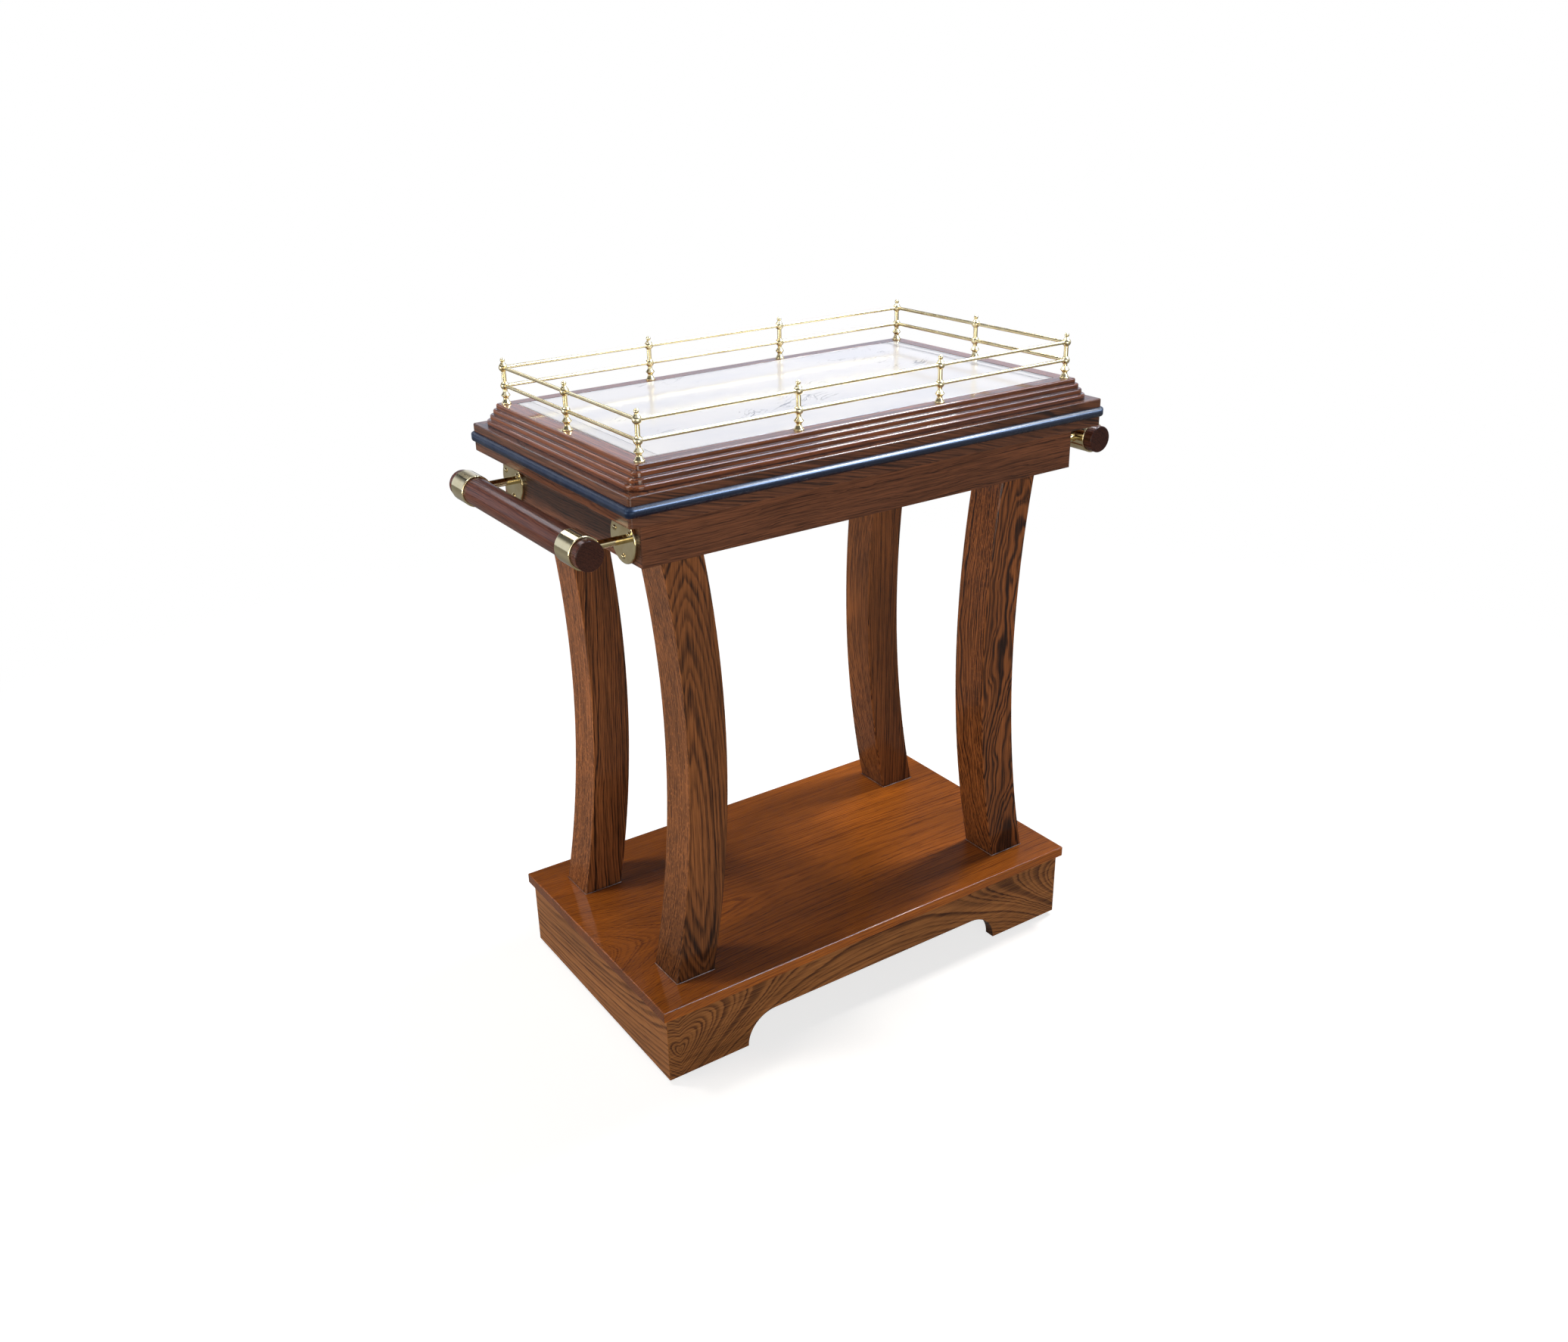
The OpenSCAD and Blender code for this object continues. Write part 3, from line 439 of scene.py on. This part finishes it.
# Each kind of board: how high its pith lies above the face's middle, its light and dark, and its grain
BOARDS = {
    "skirt": (0.07, TAN, UMBER, {
        "Ring": 0.0046, "Depth": 0.045, "Wander": 0.013, "Waves": 4.0, "Slope": 0.03, "Streaks": 0.7,
    }),
    "apron": (0.12, DULL_BROWN, NEARLY_BLACK, {
        "Ring": 0.003, "Depth": 0.06, "Wander": 0.011, "Waves": 6.0, "Jag": 0.0024, "Contrast": 0.62,
        "Uneven": 0.8,
    }),
    "top_edge": (0.11, DEEP_BROWN, NEARLY_BLACK, {
        "Ring": 0.0042, "Depth": 0.05, "Wander": 0.014, "Waves": 5.0, "Jag": 0.0018, "Contrast": 0.8,
        "Uneven": 0.8, "coat": 0.8,
    }),
    "moulding": (0.09, LIT_BROWN, UMBER, {
        "Ring": 0.0034, "Depth": 0.06, "Wander": 0.004, "Contrast": 0.7, "Uneven": 0.8, "coat": 1.0,
        "coat_roughness": 0.07,
    }),
}
# What single boards have of their own
OWN = {
    "top_edge_front": {"slant": 0.24},
    "skirt_left": {"Ring": 0.0062, "Depth": 0.05, "Start": -0.22, "Start reach": 0.2, "Start dip": -0.9,
                   "Slope": -0.02, "Wander": 0.008, "Contrast": 0.75},
}
EYE_FROM_CORNER = 0.018  # the eye in the front skirt
EYE_HEIGHT = 0.052
ARCHES_BEYOND = 0.03  # the arches are centred this much more than the board's length away from the eye
SEED_PER_LETTER = 1.7  # gives each kind of board its own seeds


def dress_sides():
    """Skirt, apron, slab and moulding: a board on each side, each with its own figure."""
    for number, side in enumerate(SIDES):
        for kind, (above, light, dark, grain) in BOARDS.items():
            node = f"{kind}_{side}"
            if node == "skirt_front":
                continue
            place = outer_face(node, side) + Vector((0.0, 0.0, above))
            dress(node, wood(f"{node}_wood", side_axes(side), place, light, dark,
                             Seed=number + len(kind) * SEED_PER_LETTER, **dict(grain, **OWN.get(node, {}))))


def dress_front_skirt():
    """The front skirt: an eye at its near corner, long lines from there, and arches at its far foot."""
    low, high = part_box("skirt_front")
    length = high.x - low.x
    eye = (low.x + EYE_FROM_CORNER, low.y, EYE_HEIGHT)
    dress("skirt_front", wood("skirt_front_wood", "XZY", eye, TAN, UMBER,
                              Ring=0.005, Depth=0.1, Start=0.0, Start_reach=0.12, Start_dip=1.0, Rise=0.09,
                              End=length + ARCHES_BEYOND, End_reach=0.14, End_dip=1.0, Slope=0.0,
                              Wander=0.004, Waves=6.0, Jag=0.0008, Streaks=0.7, Contrast=0.85, Seed=8.0))


# Each leg: where its pith lies across the face, its light, and its grain
LEG_GRAIN = {
    "front_left": (0.013, paint(150, 92, 50), {
        "Ring": 0.0028, "Depth": 0.11, "End": 0.0, "End reach": 0.19, "End dip": -0.33, "Start dip": -0.12,
        "Point": 0.15, "Slope": 0.004, "Wander": 0.004, "Jag": 0.0007, "Contrast": 0.9, "Calm": 0.3,
        "Uneven": 0.55, "Foot shade": 0.6,
    }),
    "front_right": (0.004, paint(148, 87, 45), {
        "Ring": 0.0034, "Depth": 0.12, "End": 0.0, "End reach": 0.1, "End dip": -0.2, "Point": 0.1,
        "Slope": 0.03, "Wander": 0.014, "Waves": 7.0, "Jag": 0.0008, "Contrast": 1.1, "Uneven": 0.45,
        "Foot shade": 0.4,
    }),
    "back_left": (-0.022, paint(163, 100, 56), {
        "Ring": 0.002, "Depth": 0.1, "Point": 0.15, "Slope": -0.03, "Wander": 0.005, "Waves": 4.0,
        "Jag": 0.0006, "Contrast": 1.0, "Foot shade": 0.3,
    }),
    "back_right": (0.03, paint(142, 86, 46), {
        "Ring": 0.0022, "Depth": 0.1, "Point": 0.2, "Slope": 0.02, "Wander": 0.004, "Jag": 0.0006,
        "Contrast": 0.95, "Foot shade": 0.3,
    }),
}
LEG_SEED = 11.0
LEG_SEED_STEP = 2.3
FOOT_REACH = 0.09  # how high above the foot a leg is darker with painted shade
LEG_RAYS = 0.6


def dress_legs():
    """Four legs cut from straight boards, their grain upright."""
    for number, (corner, (across, light, grain)) in enumerate(LEG_GRAIN.items()):
        node = f"leg_{corner}"
        foot_low, foot_high = foot_box(node)
        origin = ((foot_low.x + foot_high.x) / 2 + across, foot_low.y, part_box(node)[1].z)
        dress(node, wood(f"{node}_wood", "ZXY", origin, light, NEARLY_BLACK,
                         Seed=LEG_SEED + number * LEG_SEED_STEP, Start=foot_low.z - origin[2],
                         Start_reach=FOOT_REACH, Rays=LEG_RAYS, **grain))


BAR_LIGHT = paint(104, 60, 44)
BAR_DARK = paint(46, 22, 18)
BAR_PITH = (-0.05, -0.03)  # beside and below the bar, so that its grain runs straight


def dress_handles():
    """The two bars, of a redder wood."""
    for number, side in enumerate(("left", "right")):
        node = f"handle_bar_{side}"
        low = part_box(node)[0]
        origin = (low.x + BAR_PITH[0], 0.0, low.z + BAR_PITH[1])
        dress(node, wood(f"{node}_wood", "YZX", origin, BAR_LIGHT, BAR_DARK, coat=0.4, coat_roughness=0.16,
                         Ring=0.003, Depth=0.03, Wander=0.009, Waves=7.0, Jag=0.002, Contrast=0.7,
                         Seed=21.0 + number))


PLY_LIGHT = paint(190, 152, 104)
PLY_DARK = paint(142, 104, 66)
BLOCK_LIGHT = paint(186, 146, 98)
BLOCK_DARK = paint(138, 100, 62)


def hidden_wood():
    """The plywood bed and the corner blocks, pale and not lacquered."""
    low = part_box("marble_bed")[0]
    dress("marble_bed", wood("ply_wood", "XYZ", (0.0, 0.0, low.z), PLY_LIGHT, PLY_DARK, coat=0.0, Ring=0.006,
                             Depth=0.08, Slope=0.04, Contrast=0.5, Seed=31.0))
    dress("corner_blocks", wood("block_wood", "XYZ", (0.0, 0.0, 0.0), BLOCK_LIGHT, BLOCK_DARK, coat=0.0,
                                Ring=0.005, Depth=0.06, Contrast=0.5, Seed=33.0))


# Stone, metal and rubber

VEIN_LINE = ((-0.06, -0.05), 0.4)  # a point of the line that the veins gather round, and its angle
VEIN_ANGLE = 0.5
VEIN_BEND = 0.04  # how far the veins stray
WIDE_VEINS = (6.0, 34.0, 10.0)  # features in a metre, here and below
FINE_VEINS = (16.0, 60.0, 10.0)
VEIN_BENDS = (14.0, 14.0, 14.0)
VEIN_BREAKS = (22.0, 30.0, 20.0)
VEIN_PATCHES = (5.0, 9.0, 5.0)
CLOUDS = (7.0, 10.0, 8.0)
POLISH_WAVES = (60.0, 60.0, 60.0)
VEIN_WIDTH = 0.02
BELT = (0.02, 0.09)  # the veins gather within the first distance of the line, and are rare past the second
MARBLE_WHITE = paint(245, 247, 254)
MARBLE_CLOUD = paint(233, 237, 249)
VEIN_GREY = paint(126, 134, 152)


def marble():
    """Polished white marble with short faint veins that climb to the right across its middle."""
    made, tree = material("marble")
    place = object_place(tree)
    bend = vector(tree, "SUBTRACT", noise(tree, place, VEIN_BENDS, 4.0, "Color"), (0.5, 0.5, 0.5))
    spot = vector(tree, "ADD", place, scaled(tree, bend, VEIN_BEND))
    along = spun(tree, spot, -VEIN_ANGLE)
    ridge = calc(tree, "ABSOLUTE", calc(tree, "SUBTRACT", noise(tree, along, WIDE_VEINS, 2.0), 0.5))
    fine = calc(tree, "ABSOLUTE", calc(tree, "SUBTRACT", noise(tree, along, FINE_VEINS, 3.0), 0.5))
    vein = calc(tree, "MAXIMUM", fade(tree, ridge, VEIN_WIDTH, 0.0),
                fade(tree, fine, VEIN_WIDTH, 0.0, 0.0, 0.6))
    broken = fade(tree, noise(tree, along, VEIN_BREAKS, 2.0), 0.48, 0.62)
    (line_x, line_y), angle = VEIN_LINE
    from_line = spun(tree, vector(tree, "SUBTRACT", place, (line_x, line_y, 0.0)), -angle)
    belt = fade(tree, calc(tree, "ABSOLUTE", parts_of(tree, from_line)[1]), *BELT)
    patch = fade(tree, noise(tree, place, VEIN_PATCHES, 2.0), calc(tree, "MULTIPLY_ADD", belt, 0.18, 0.4),
                 calc(tree, "MULTIPLY_ADD", belt, 0.18, 0.52))
    vein = calc(tree, "MULTIPLY", calc(tree, "MULTIPLY", vein, broken), patch)
    cloud = noise(tree, spot, CLOUDS, 4.0)
    colour = mix(tree, fade(tree, cloud, 0.4, 0.75), MARBLE_WHITE, MARBLE_CLOUD)
    colour = mix(tree, calc(tree, "MULTIPLY", vein, 0.85), colour, VEIN_GREY)
    shader = add(tree, "ShaderNodeBsdfPrincipled", {
        "Base Color": colour,
        "Roughness": calc(tree, "MULTIPLY_ADD", cloud, 0.06, 0.08),
        "Normal": bumped(tree, noise(tree, place, POLISH_WAVES, 2.0), 0.0001, 0.4),
    })
    finish_with(tree, shader)
    return made


BRASS_PALE = (0.8, 0.69, 0.41, 1.0)
BRASS_DEEP = (0.7, 0.56, 0.29, 1.0)
WIPING_MARKS = (900.0, 900.0, 160.0)
BRASS_TONES = (40.0, 40.0, 40.0)
BRASS_POLISH = 0.07  # the roughness of the handles' brass
RAIL_POLISH = 0.17  # and of the gallery's


def brass(name, roughness):
    """Polished pale brass, with fine wiping marks and slightly uneven tone."""
    made, tree = material(name)
    place = object_place(tree)
    tone = noise(tree, place, BRASS_TONES, 3.0)
    marks = noise(tree, place, WIPING_MARKS, 2.0)
    colour = mix(tree, fade(tree, tone, 0.35, 0.7), BRASS_PALE, BRASS_DEEP)
    shader = add(tree, "ShaderNodeBsdfPrincipled", {
        "Base Color": colour,
        "Metallic": 1.0,
        "Roughness": calc(tree, "MULTIPLY_ADD", marks, 0.08, roughness),
        "Normal": bumped(tree, marks, 0.00002, 0.5, normal=eased(tree, 0.001)),
    })
    finish_with(tree, shader)
    return made


RUBBER_GRAIN = (1400.0, 1400.0, 1400.0)
TREAD_DUST = (30.0, 30.0, 30.0)
TREAD_GREY = paint(44, 44, 46)


def tread():
    """The dull grey rubber of the wheels, with a fine grain and dust."""
    made, tree = material("tread_rubber")
    place = object_place(tree)
    grain = noise(tree, place, RUBBER_GRAIN, 2.0)
    dust = noise(tree, place, TREAD_DUST, 3.0)
    dusty = fade(tree, dust, 0.45, 0.8, 0.0, 0.5)
    shader = add(tree, "ShaderNodeBsdfPrincipled", {
        "Base Color": mix(tree, dusty, TREAD_GREY, scaled(tree, TREAD_GREY[:3], 2.2)),
        "Roughness": calc(tree, "MULTIPLY_ADD", dust, 0.16, 0.5),
        "Specular IOR Level": 0.4,
        "Normal": bumped(tree, grain, 0.00004, 0.4),
    })
    finish_with(tree, shader)
    return made


NAVY = paint(12, 22, 48)
DUST = paint(74, 80, 92)
SWELL = 220.0  # how fast the bumper's face turns away with height
SWELL_REACH = 0.004
END_FADE = (0.012, 0.004)  # how far from the trolley's ends the bumper's finish changes
BUMPER_TINT = (0.35, 0.6, 1.0, 1.0)
SPECKS = (500.0, 500.0, 500.0)
SMEARS = (60.0, 60.0, 60.0)


def bumper():
    """Navy rubber with a swelling face: glossy along the long sides, dusty and dull along the ends."""
    made, tree = material("bumper_rubber")
    place = object_place(tree)
    low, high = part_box("rubber_bumper")
    x, _, z = parts_of(tree, place)
    grain = noise(tree, place, RUBBER_GRAIN, 2.0)
    specks = fade(tree, noise(tree, place, SPECKS, 2.0), 0.6, 0.72)
    at_end = fade(tree, calc(tree, "ABSOLUTE", x), *(high.x - step for step in END_FADE))
    off = calc(tree, "SUBTRACT", z, (low.z + high.z) / 2)
    off = calc(tree, "MAXIMUM", calc(tree, "MINIMUM", off, SWELL_REACH), -SWELL_REACH)
    lean = joined(tree, z=calc(tree, "MULTIPLY", off, SWELL))
    normal = add(tree, "ShaderNodeNewGeometry").outputs["Normal"]
    face = vector(tree, "NORMALIZE", vector(tree, "ADD", normal, lean))
    smear = noise(tree, place, SMEARS, 3.0)
    smeared = calc(tree, "MULTIPLY", at_end, fade(tree, smear, 0.35, 0.7, 0.05, 0.35))
    speckled = calc(tree, "MULTIPLY", specks, calc(tree, "MULTIPLY_ADD", at_end, 0.35, 0.05))
    colour = mix(tree, speckled, mix(tree, smeared, NAVY, DUST), DUST)
    shader = add(tree, "ShaderNodeBsdfPrincipled", {
        "Base Color": colour,
        "Roughness": calc(tree, "MULTIPLY_ADD", at_end, 0.2, calc(tree, "MULTIPLY_ADD", smear, 0.1, 0.22)),
        "Specular IOR Level": 0.5,
        "Specular Tint": BUMPER_TINT,
        "Normal": bumped(tree, grain, 0.00002, 0.4, normal=face),
        "Coat Weight": fade(tree, at_end, 0.0, 1.0, 0.8, 0.0),
        "Coat Roughness": 0.32,
        "Coat Normal": face,
    })
    finish_with(tree, shader)
    return made


ZINC_DARK = (0.52, 0.53, 0.54, 1.0)
ZINC_LIGHT = (0.62, 0.63, 0.64, 1.0)
ZINC_FLAKES = 260.0
ZINC_HAZE = (300.0, 300.0, 300.0)


def zinc():
    """Zinc-plated pressed steel, with a faint mottle."""
    made, tree = material("zinc")
    place = object_place(tree)
    flakes = add(tree, "ShaderNodeTexVoronoi", {"Vector": place, "Scale": ZINC_FLAKES}).outputs["Color"]
    tone = add(tree, "ShaderNodeSeparateColor", {0: flakes}).outputs[0]
    colour = mix(tree, tone, ZINC_DARK, ZINC_LIGHT)
    shader = add(tree, "ShaderNodeBsdfPrincipled", {
        "Base Color": colour,
        "Metallic": 1.0,
        "Roughness": calc(tree, "MULTIPLY_ADD", noise(tree, place, ZINC_HAZE, 3.0), 0.2, 0.24),
        "Normal": bumped(tree, tone, 0.00002, 0.5),
    })
    finish_with(tree, shader)
    return made


BRASS_NODES = ("handle_collars", "handle_arms", "handle_rosettes", "rosette_screws")
STEEL_NODES = ("caster_plates", "caster_fork", "caster_axle", "caster_screws", "leg_fixings")


def dress_hard_parts():
    """Marble, brass, rubber and steel."""
    dress("marble_top", marble())
    dress("rubber_bumper", bumper())
    gold = brass("brass", BRASS_POLISH)
    rail_gold = brass("rail_brass", RAIL_POLISH)
    steel = zinc()
    dull_rubber = tread()
    for name in NODES:
        if name.startswith("gallery_post") or name.endswith("_rails"):
            dress(name, rail_gold)
        elif name.startswith(BRASS_NODES):
            dress(name, gold)
        elif name.startswith(STEEL_NODES):
            dress(name, steel)
        elif name.startswith("caster_wheel"):
            dress(name, dull_rubber)


# Small details

BEAD_RADIUS = 0.0007
BEAD_THINNEST = 0.35 * BEAD_RADIUS
BEAD_THICKEST = 1.3 * BEAD_RADIUS
BEAD_CHANGE = 0.3  # how much its radius may change in a step
BEAD_STEP = 0.003
BEAD_SIDES = 8
GLUE_PALE = paint(150, 120, 104)
GLUE_DIRTY = paint(96, 60, 42)
GLUE_DUST = (400.0, 400.0, 400.0)


def foot_bead(corner, finish):
    """A thin uneven bead of glue that squeezed out round a leg's foot."""
    low, high = foot_box(f"leg_{corner}")
    chance = random.Random(corner)
    ring = [(low.x, low.y), (high.x, low.y), (high.x, high.y), (low.x, high.y)]
    path = []
    for (x0, y0), (x1, y1) in zip(ring, ring[1:] + ring[:1]):
        steps = round(math.hypot(x1 - x0, y1 - y0) / BEAD_STEP)
        for i in range(steps):
            path.append(Vector((x0 + (x1 - x0) * i / steps, y0 + (y1 - y0) * i / steps, low.z)))
    shape = bmesh.new()
    loops = []
    size = BEAD_RADIUS
    for i, point in enumerate(path):
        ahead = (path[(i + 1) % len(path)] - path[i - 1]).normalized()
        out = Vector((ahead.y, -ahead.x, 0.0))
        size += chance.uniform(-1, 1) * BEAD_CHANGE * BEAD_RADIUS
        size = min(max(size, BEAD_THINNEST), BEAD_THICKEST)
        loop = []
        for k in range(BEAD_SIDES):
            turn = math.tau * k / BEAD_SIDES
            place = point + out * math.cos(turn) * size + Vector((0, 0, math.sin(turn) * size))
            loop.append(shape.verts.new(place))
        loops.append(loop)
    for one, two in zip(loops, loops[1:] + loops[:1]):
        for k in range(BEAD_SIDES):
            shape.faces.new((one[k], two[k], two[(k + 1) % BEAD_SIDES], one[(k + 1) % BEAD_SIDES]))
    bmesh.ops.recalc_face_normals(shape, faces=shape.faces)
    mesh = bpy.data.meshes.new(f"foot_bead_{corner}")
    shape.to_mesh(mesh)
    shape.free()
    mesh.polygons.foreach_set("use_smooth", [True] * len(mesh.polygons))
    mesh.materials.append(finish)
    bead = bpy.data.objects.new(f"foot_bead_{corner}", mesh)
    bpy.context.scene.collection.objects.link(bead)
    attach(bead, "root")


def glue():
    """Dried glue, pale and half clear, with dust in it."""
    made, tree = material("glue")
    dust = noise(tree, object_place(tree), GLUE_DUST, 3.0)
    shader = add(tree, "ShaderNodeBsdfPrincipled", {
        "Base Color": mix(tree, fade(tree, dust, 0.3, 0.7), GLUE_PALE, GLUE_DIRTY),
        "Roughness": calc(tree, "MULTIPLY_ADD", dust, 0.3, 0.15),
        "Normal": bumped(tree, dust, 0.0002, 0.5),
    })
    finish_with(tree, shader)
    return made


# Stage, light and camera

FLOOR_RADIUS = 12.0
FLOOR_TONE = 0.5  # how much light the floor sends back
FLOOR_LIFT = 0.74  # how white the floor is by itself where the camera sees it
FLOOR_IN_GLOSS = 0.14  # how much of its white the floor keeps in reflections
FLOOR_GRAIN = (300.0, 300.0, 300.0)
SHADOW_REACH = (0.9, 2.2)  # the floor keeps its shadow within the first, and is plain white past the second


def ray_kinds(tree):
    """Whether a ray sees the thing straight or through glass, and whether it is a reflection."""
    path = add(tree, "ShaderNodeLightPath").outputs
    return calc(tree, "MAXIMUM", path["Is Camera Ray"], path["Is Transmission Ray"]), path["Is Glossy Ray"]


def glow(tree, strength):
    """White light that a surface gives by itself."""
    return add(tree, "ShaderNodeEmission", {"Color": WHITE, "Strength": strength}).outputs[0]


def stage():
    """A pale floor that fades into the white background, and keeps the object's shadow."""
    mesh = bpy.data.meshes.new("floor")
    shape = bmesh.new()
    bmesh.ops.create_circle(shape, cap_ends=True, segments=64, radius=FLOOR_RADIUS)
    shape.to_mesh(mesh)
    shape.free()
    floor = bpy.data.objects.new("floor", mesh)
    bpy.context.scene.collection.objects.link(floor)
    made, tree = material("floor")
    clear, glossy = ray_kinds(tree)
    seen = calc(tree, "MAXIMUM", clear, calc(tree, "MULTIPLY", glossy, FLOOR_IN_GLOSS))
    distance = add(tree, "ShaderNodeVectorMath", {0: object_place(tree)}, operation="LENGTH").outputs["Value"]
    far = calc(tree, "MULTIPLY", fade(tree, distance, *SHADOW_REACH), seen)
    grain = noise(tree, object_place(tree), FLOOR_GRAIN, 2.0)
    pale = add(tree, "ShaderNodeBsdfDiffuse", {
        "Color": calc(tree, "MULTIPLY_ADD", glossy, FLOOR_IN_GLOSS - FLOOR_TONE, FLOOR_TONE),
        "Normal": bumped(tree, grain, 0.0002, 0.3),
    })
    lift = glow(tree, calc(tree, "MULTIPLY", seen, FLOOR_LIFT))
    near = add(tree, "ShaderNodeAddShader", {0: pale.outputs[0], 1: lift})
    finish_with(tree, add(tree, "ShaderNodeMixShader", {0: far, 1: near.outputs[0], 2: glow(tree, 1.0)}))
    mesh.materials.append(made)


FILL = 0.05  # the level of the light from all round
BAND = (0.26, 0.44)  # reflections see a white band low all round, which ends between these heights
CEILING = (0.66, 0.82)  # and a white ceiling, which begins between these
AROUND = 0.08  # the level of the room between them
FRONT_OF_ROOM = 0.06  # and its level in front of the trolley
COOL = (0.78, 0.84, 1.0, 1.0)  # the tint of what reflections see
WINDOWS = 2.4  # how fast the room's bright and dark parts follow each other round the trolley


def surroundings():
    """White for the camera. For reflections a white band low down, a ceiling, and a darker room between."""
    world = bpy.data.worlds.new("studio")
    bpy.context.scene.world = world
    world.use_nodes = True
    tree = world.node_tree
    tree.nodes.clear()
    clear, glossy = ray_kinds(tree)
    toward = parts_of(tree, add(tree, "ShaderNodeTexCoord").outputs["Generated"])
    turn = calc(tree, "ARCTAN2", toward["Y"], toward["X"])
    windows = fade(tree, noise_along(tree, calc(tree, "MULTIPLY", turn, WINDOWS), 2.0), 0.45, 0.58, 0.35, 1.8)
    room = calc(tree, "MULTIPLY", windows, fade(tree, toward["Y"], -0.5, 0.1, FRONT_OF_ROOM, AROUND))
    room = calc(tree, "MAXIMUM", room, fade(tree, toward["Z"], *BAND, 1.0, 0.0))
    room = calc(tree, "MAXIMUM", room, fade(tree, toward["Z"], *CEILING))
    level = calc(tree, "MULTIPLY_ADD", glossy, calc(tree, "SUBTRACT", room, FILL), FILL)
    level = calc(tree, "MAXIMUM", level, clear)
    tint = mix(tree, glossy, WHITE, COOL)
    lit = add(tree, "ShaderNodeBackground", {"Color": tint, "Strength": level})
    add(tree, "ShaderNodeOutputWorld", {"Surface": lit.outputs[0]})


MIDDLE = Vector((0.0, 0.0, 0.5))  # where the lights point
WARM = (1.0, 0.95, 0.88)
CLEAR = (0.9, 0.92, 1.0)
BLUE = (0.63, 0.77, 1.0)
# Place, width, height, power, colour, and whether the light makes highlights alone
LAMPS = {
    "right_softbox": ((1.75, 0.0, 3.16), 0.45, 0.45, 67.0, WARM, False),
    "left_softbox": ((-1.51, 0.87, 3.15), 0.5, 0.5, 31.0, WARM, False),
    "low_left_softbox": ((-3.0, 0.6, 0.75), 1.0, 0.8, 42.0, WARM, False),
    "front_softbox": ((-0.7, -3.1, 0.6), 1.8, 1.2, 37.0, WARM, False),
    "back_softbox": ((-0.3, 2.4, 2.3), 0.8, 0.6, 6.0, CLEAR, False),
    "rim_softbox": ((1.5, 1.3, 2.9), 1.1, 0.8, 60.0, CLEAR, True),
    "gloss_softbox": ((1.56, -1.55, 3.0), 2.0, 1.4, 172.0, BLUE, True),
}


def softbox(name, place, width, height, power, colour, gloss_only):
    """A rectangular soft light that points at the middle of the trolley. Some make highlights alone."""
    lamp = bpy.data.lights.new(name, "AREA")
    lamp.shape = "RECTANGLE"
    lamp.size = width
    lamp.size_y = height
    lamp.energy = power
    lamp.color = colour
    made = bpy.data.objects.new(name, lamp)
    made.location = place
    made.rotation_euler = (MIDDLE - Vector(place)).to_track_quat("-Z", "Y").to_euler()
    made.visible_diffuse = not gloss_only
    bpy.context.scene.collection.objects.link(made)


def lights():
    """Two small warm lights high on the right and the left, wide low ones at the left and in front,
    a weak one behind, and two cool ones that only make highlights."""
    for name, lamp in LAMPS.items():
        softbox(name, *lamp)


def camera():
    """The photograph's own view."""
    yaw, pitch, roll = (math.radians(a) for a in (CAMERA_YAW, CAMERA_PITCH, CAMERA_ROLL))
    forward = Vector((math.sin(-yaw) * math.cos(pitch), math.cos(yaw) * math.cos(pitch), math.sin(pitch)))
    level = forward.cross(Vector((0.0, 0.0, 1.0))).normalized()
    upward = level.cross(forward)
    right = level * math.cos(roll) + upward * math.sin(roll)
    top = upward * math.cos(roll) - level * math.sin(roll)
    data = bpy.data.cameras.new("camera")
    data.sensor_width = SENSOR
    data.lens = SENSOR * FOCAL_LENGTH / PHOTO_WIDTH
    data.shift_x = CENTRE_LEFT / PHOTO_WIDTH
    made = bpy.data.objects.new("camera", data)
    turn = made.matrix_world.to_3x3()
    turn.col[0], turn.col[1], turn.col[2] = right, top, -forward
    made.matrix_world = turn.to_4x4()
    made.location = CAMERA_PLACE
    bpy.context.scene.collection.objects.link(made)
    bpy.context.scene.camera = made


camera()
surroundings()
stage()
lights()
dress_base()
dress_sides()
dress_front_skirt()
dress_legs()
dress_handles()
hidden_wood()
dress_hard_parts()
dried = glue()
for corner in CORNERS:
    foot_bead(corner, dried)
bpy.context.scene.view_settings.view_transform = "Standard"
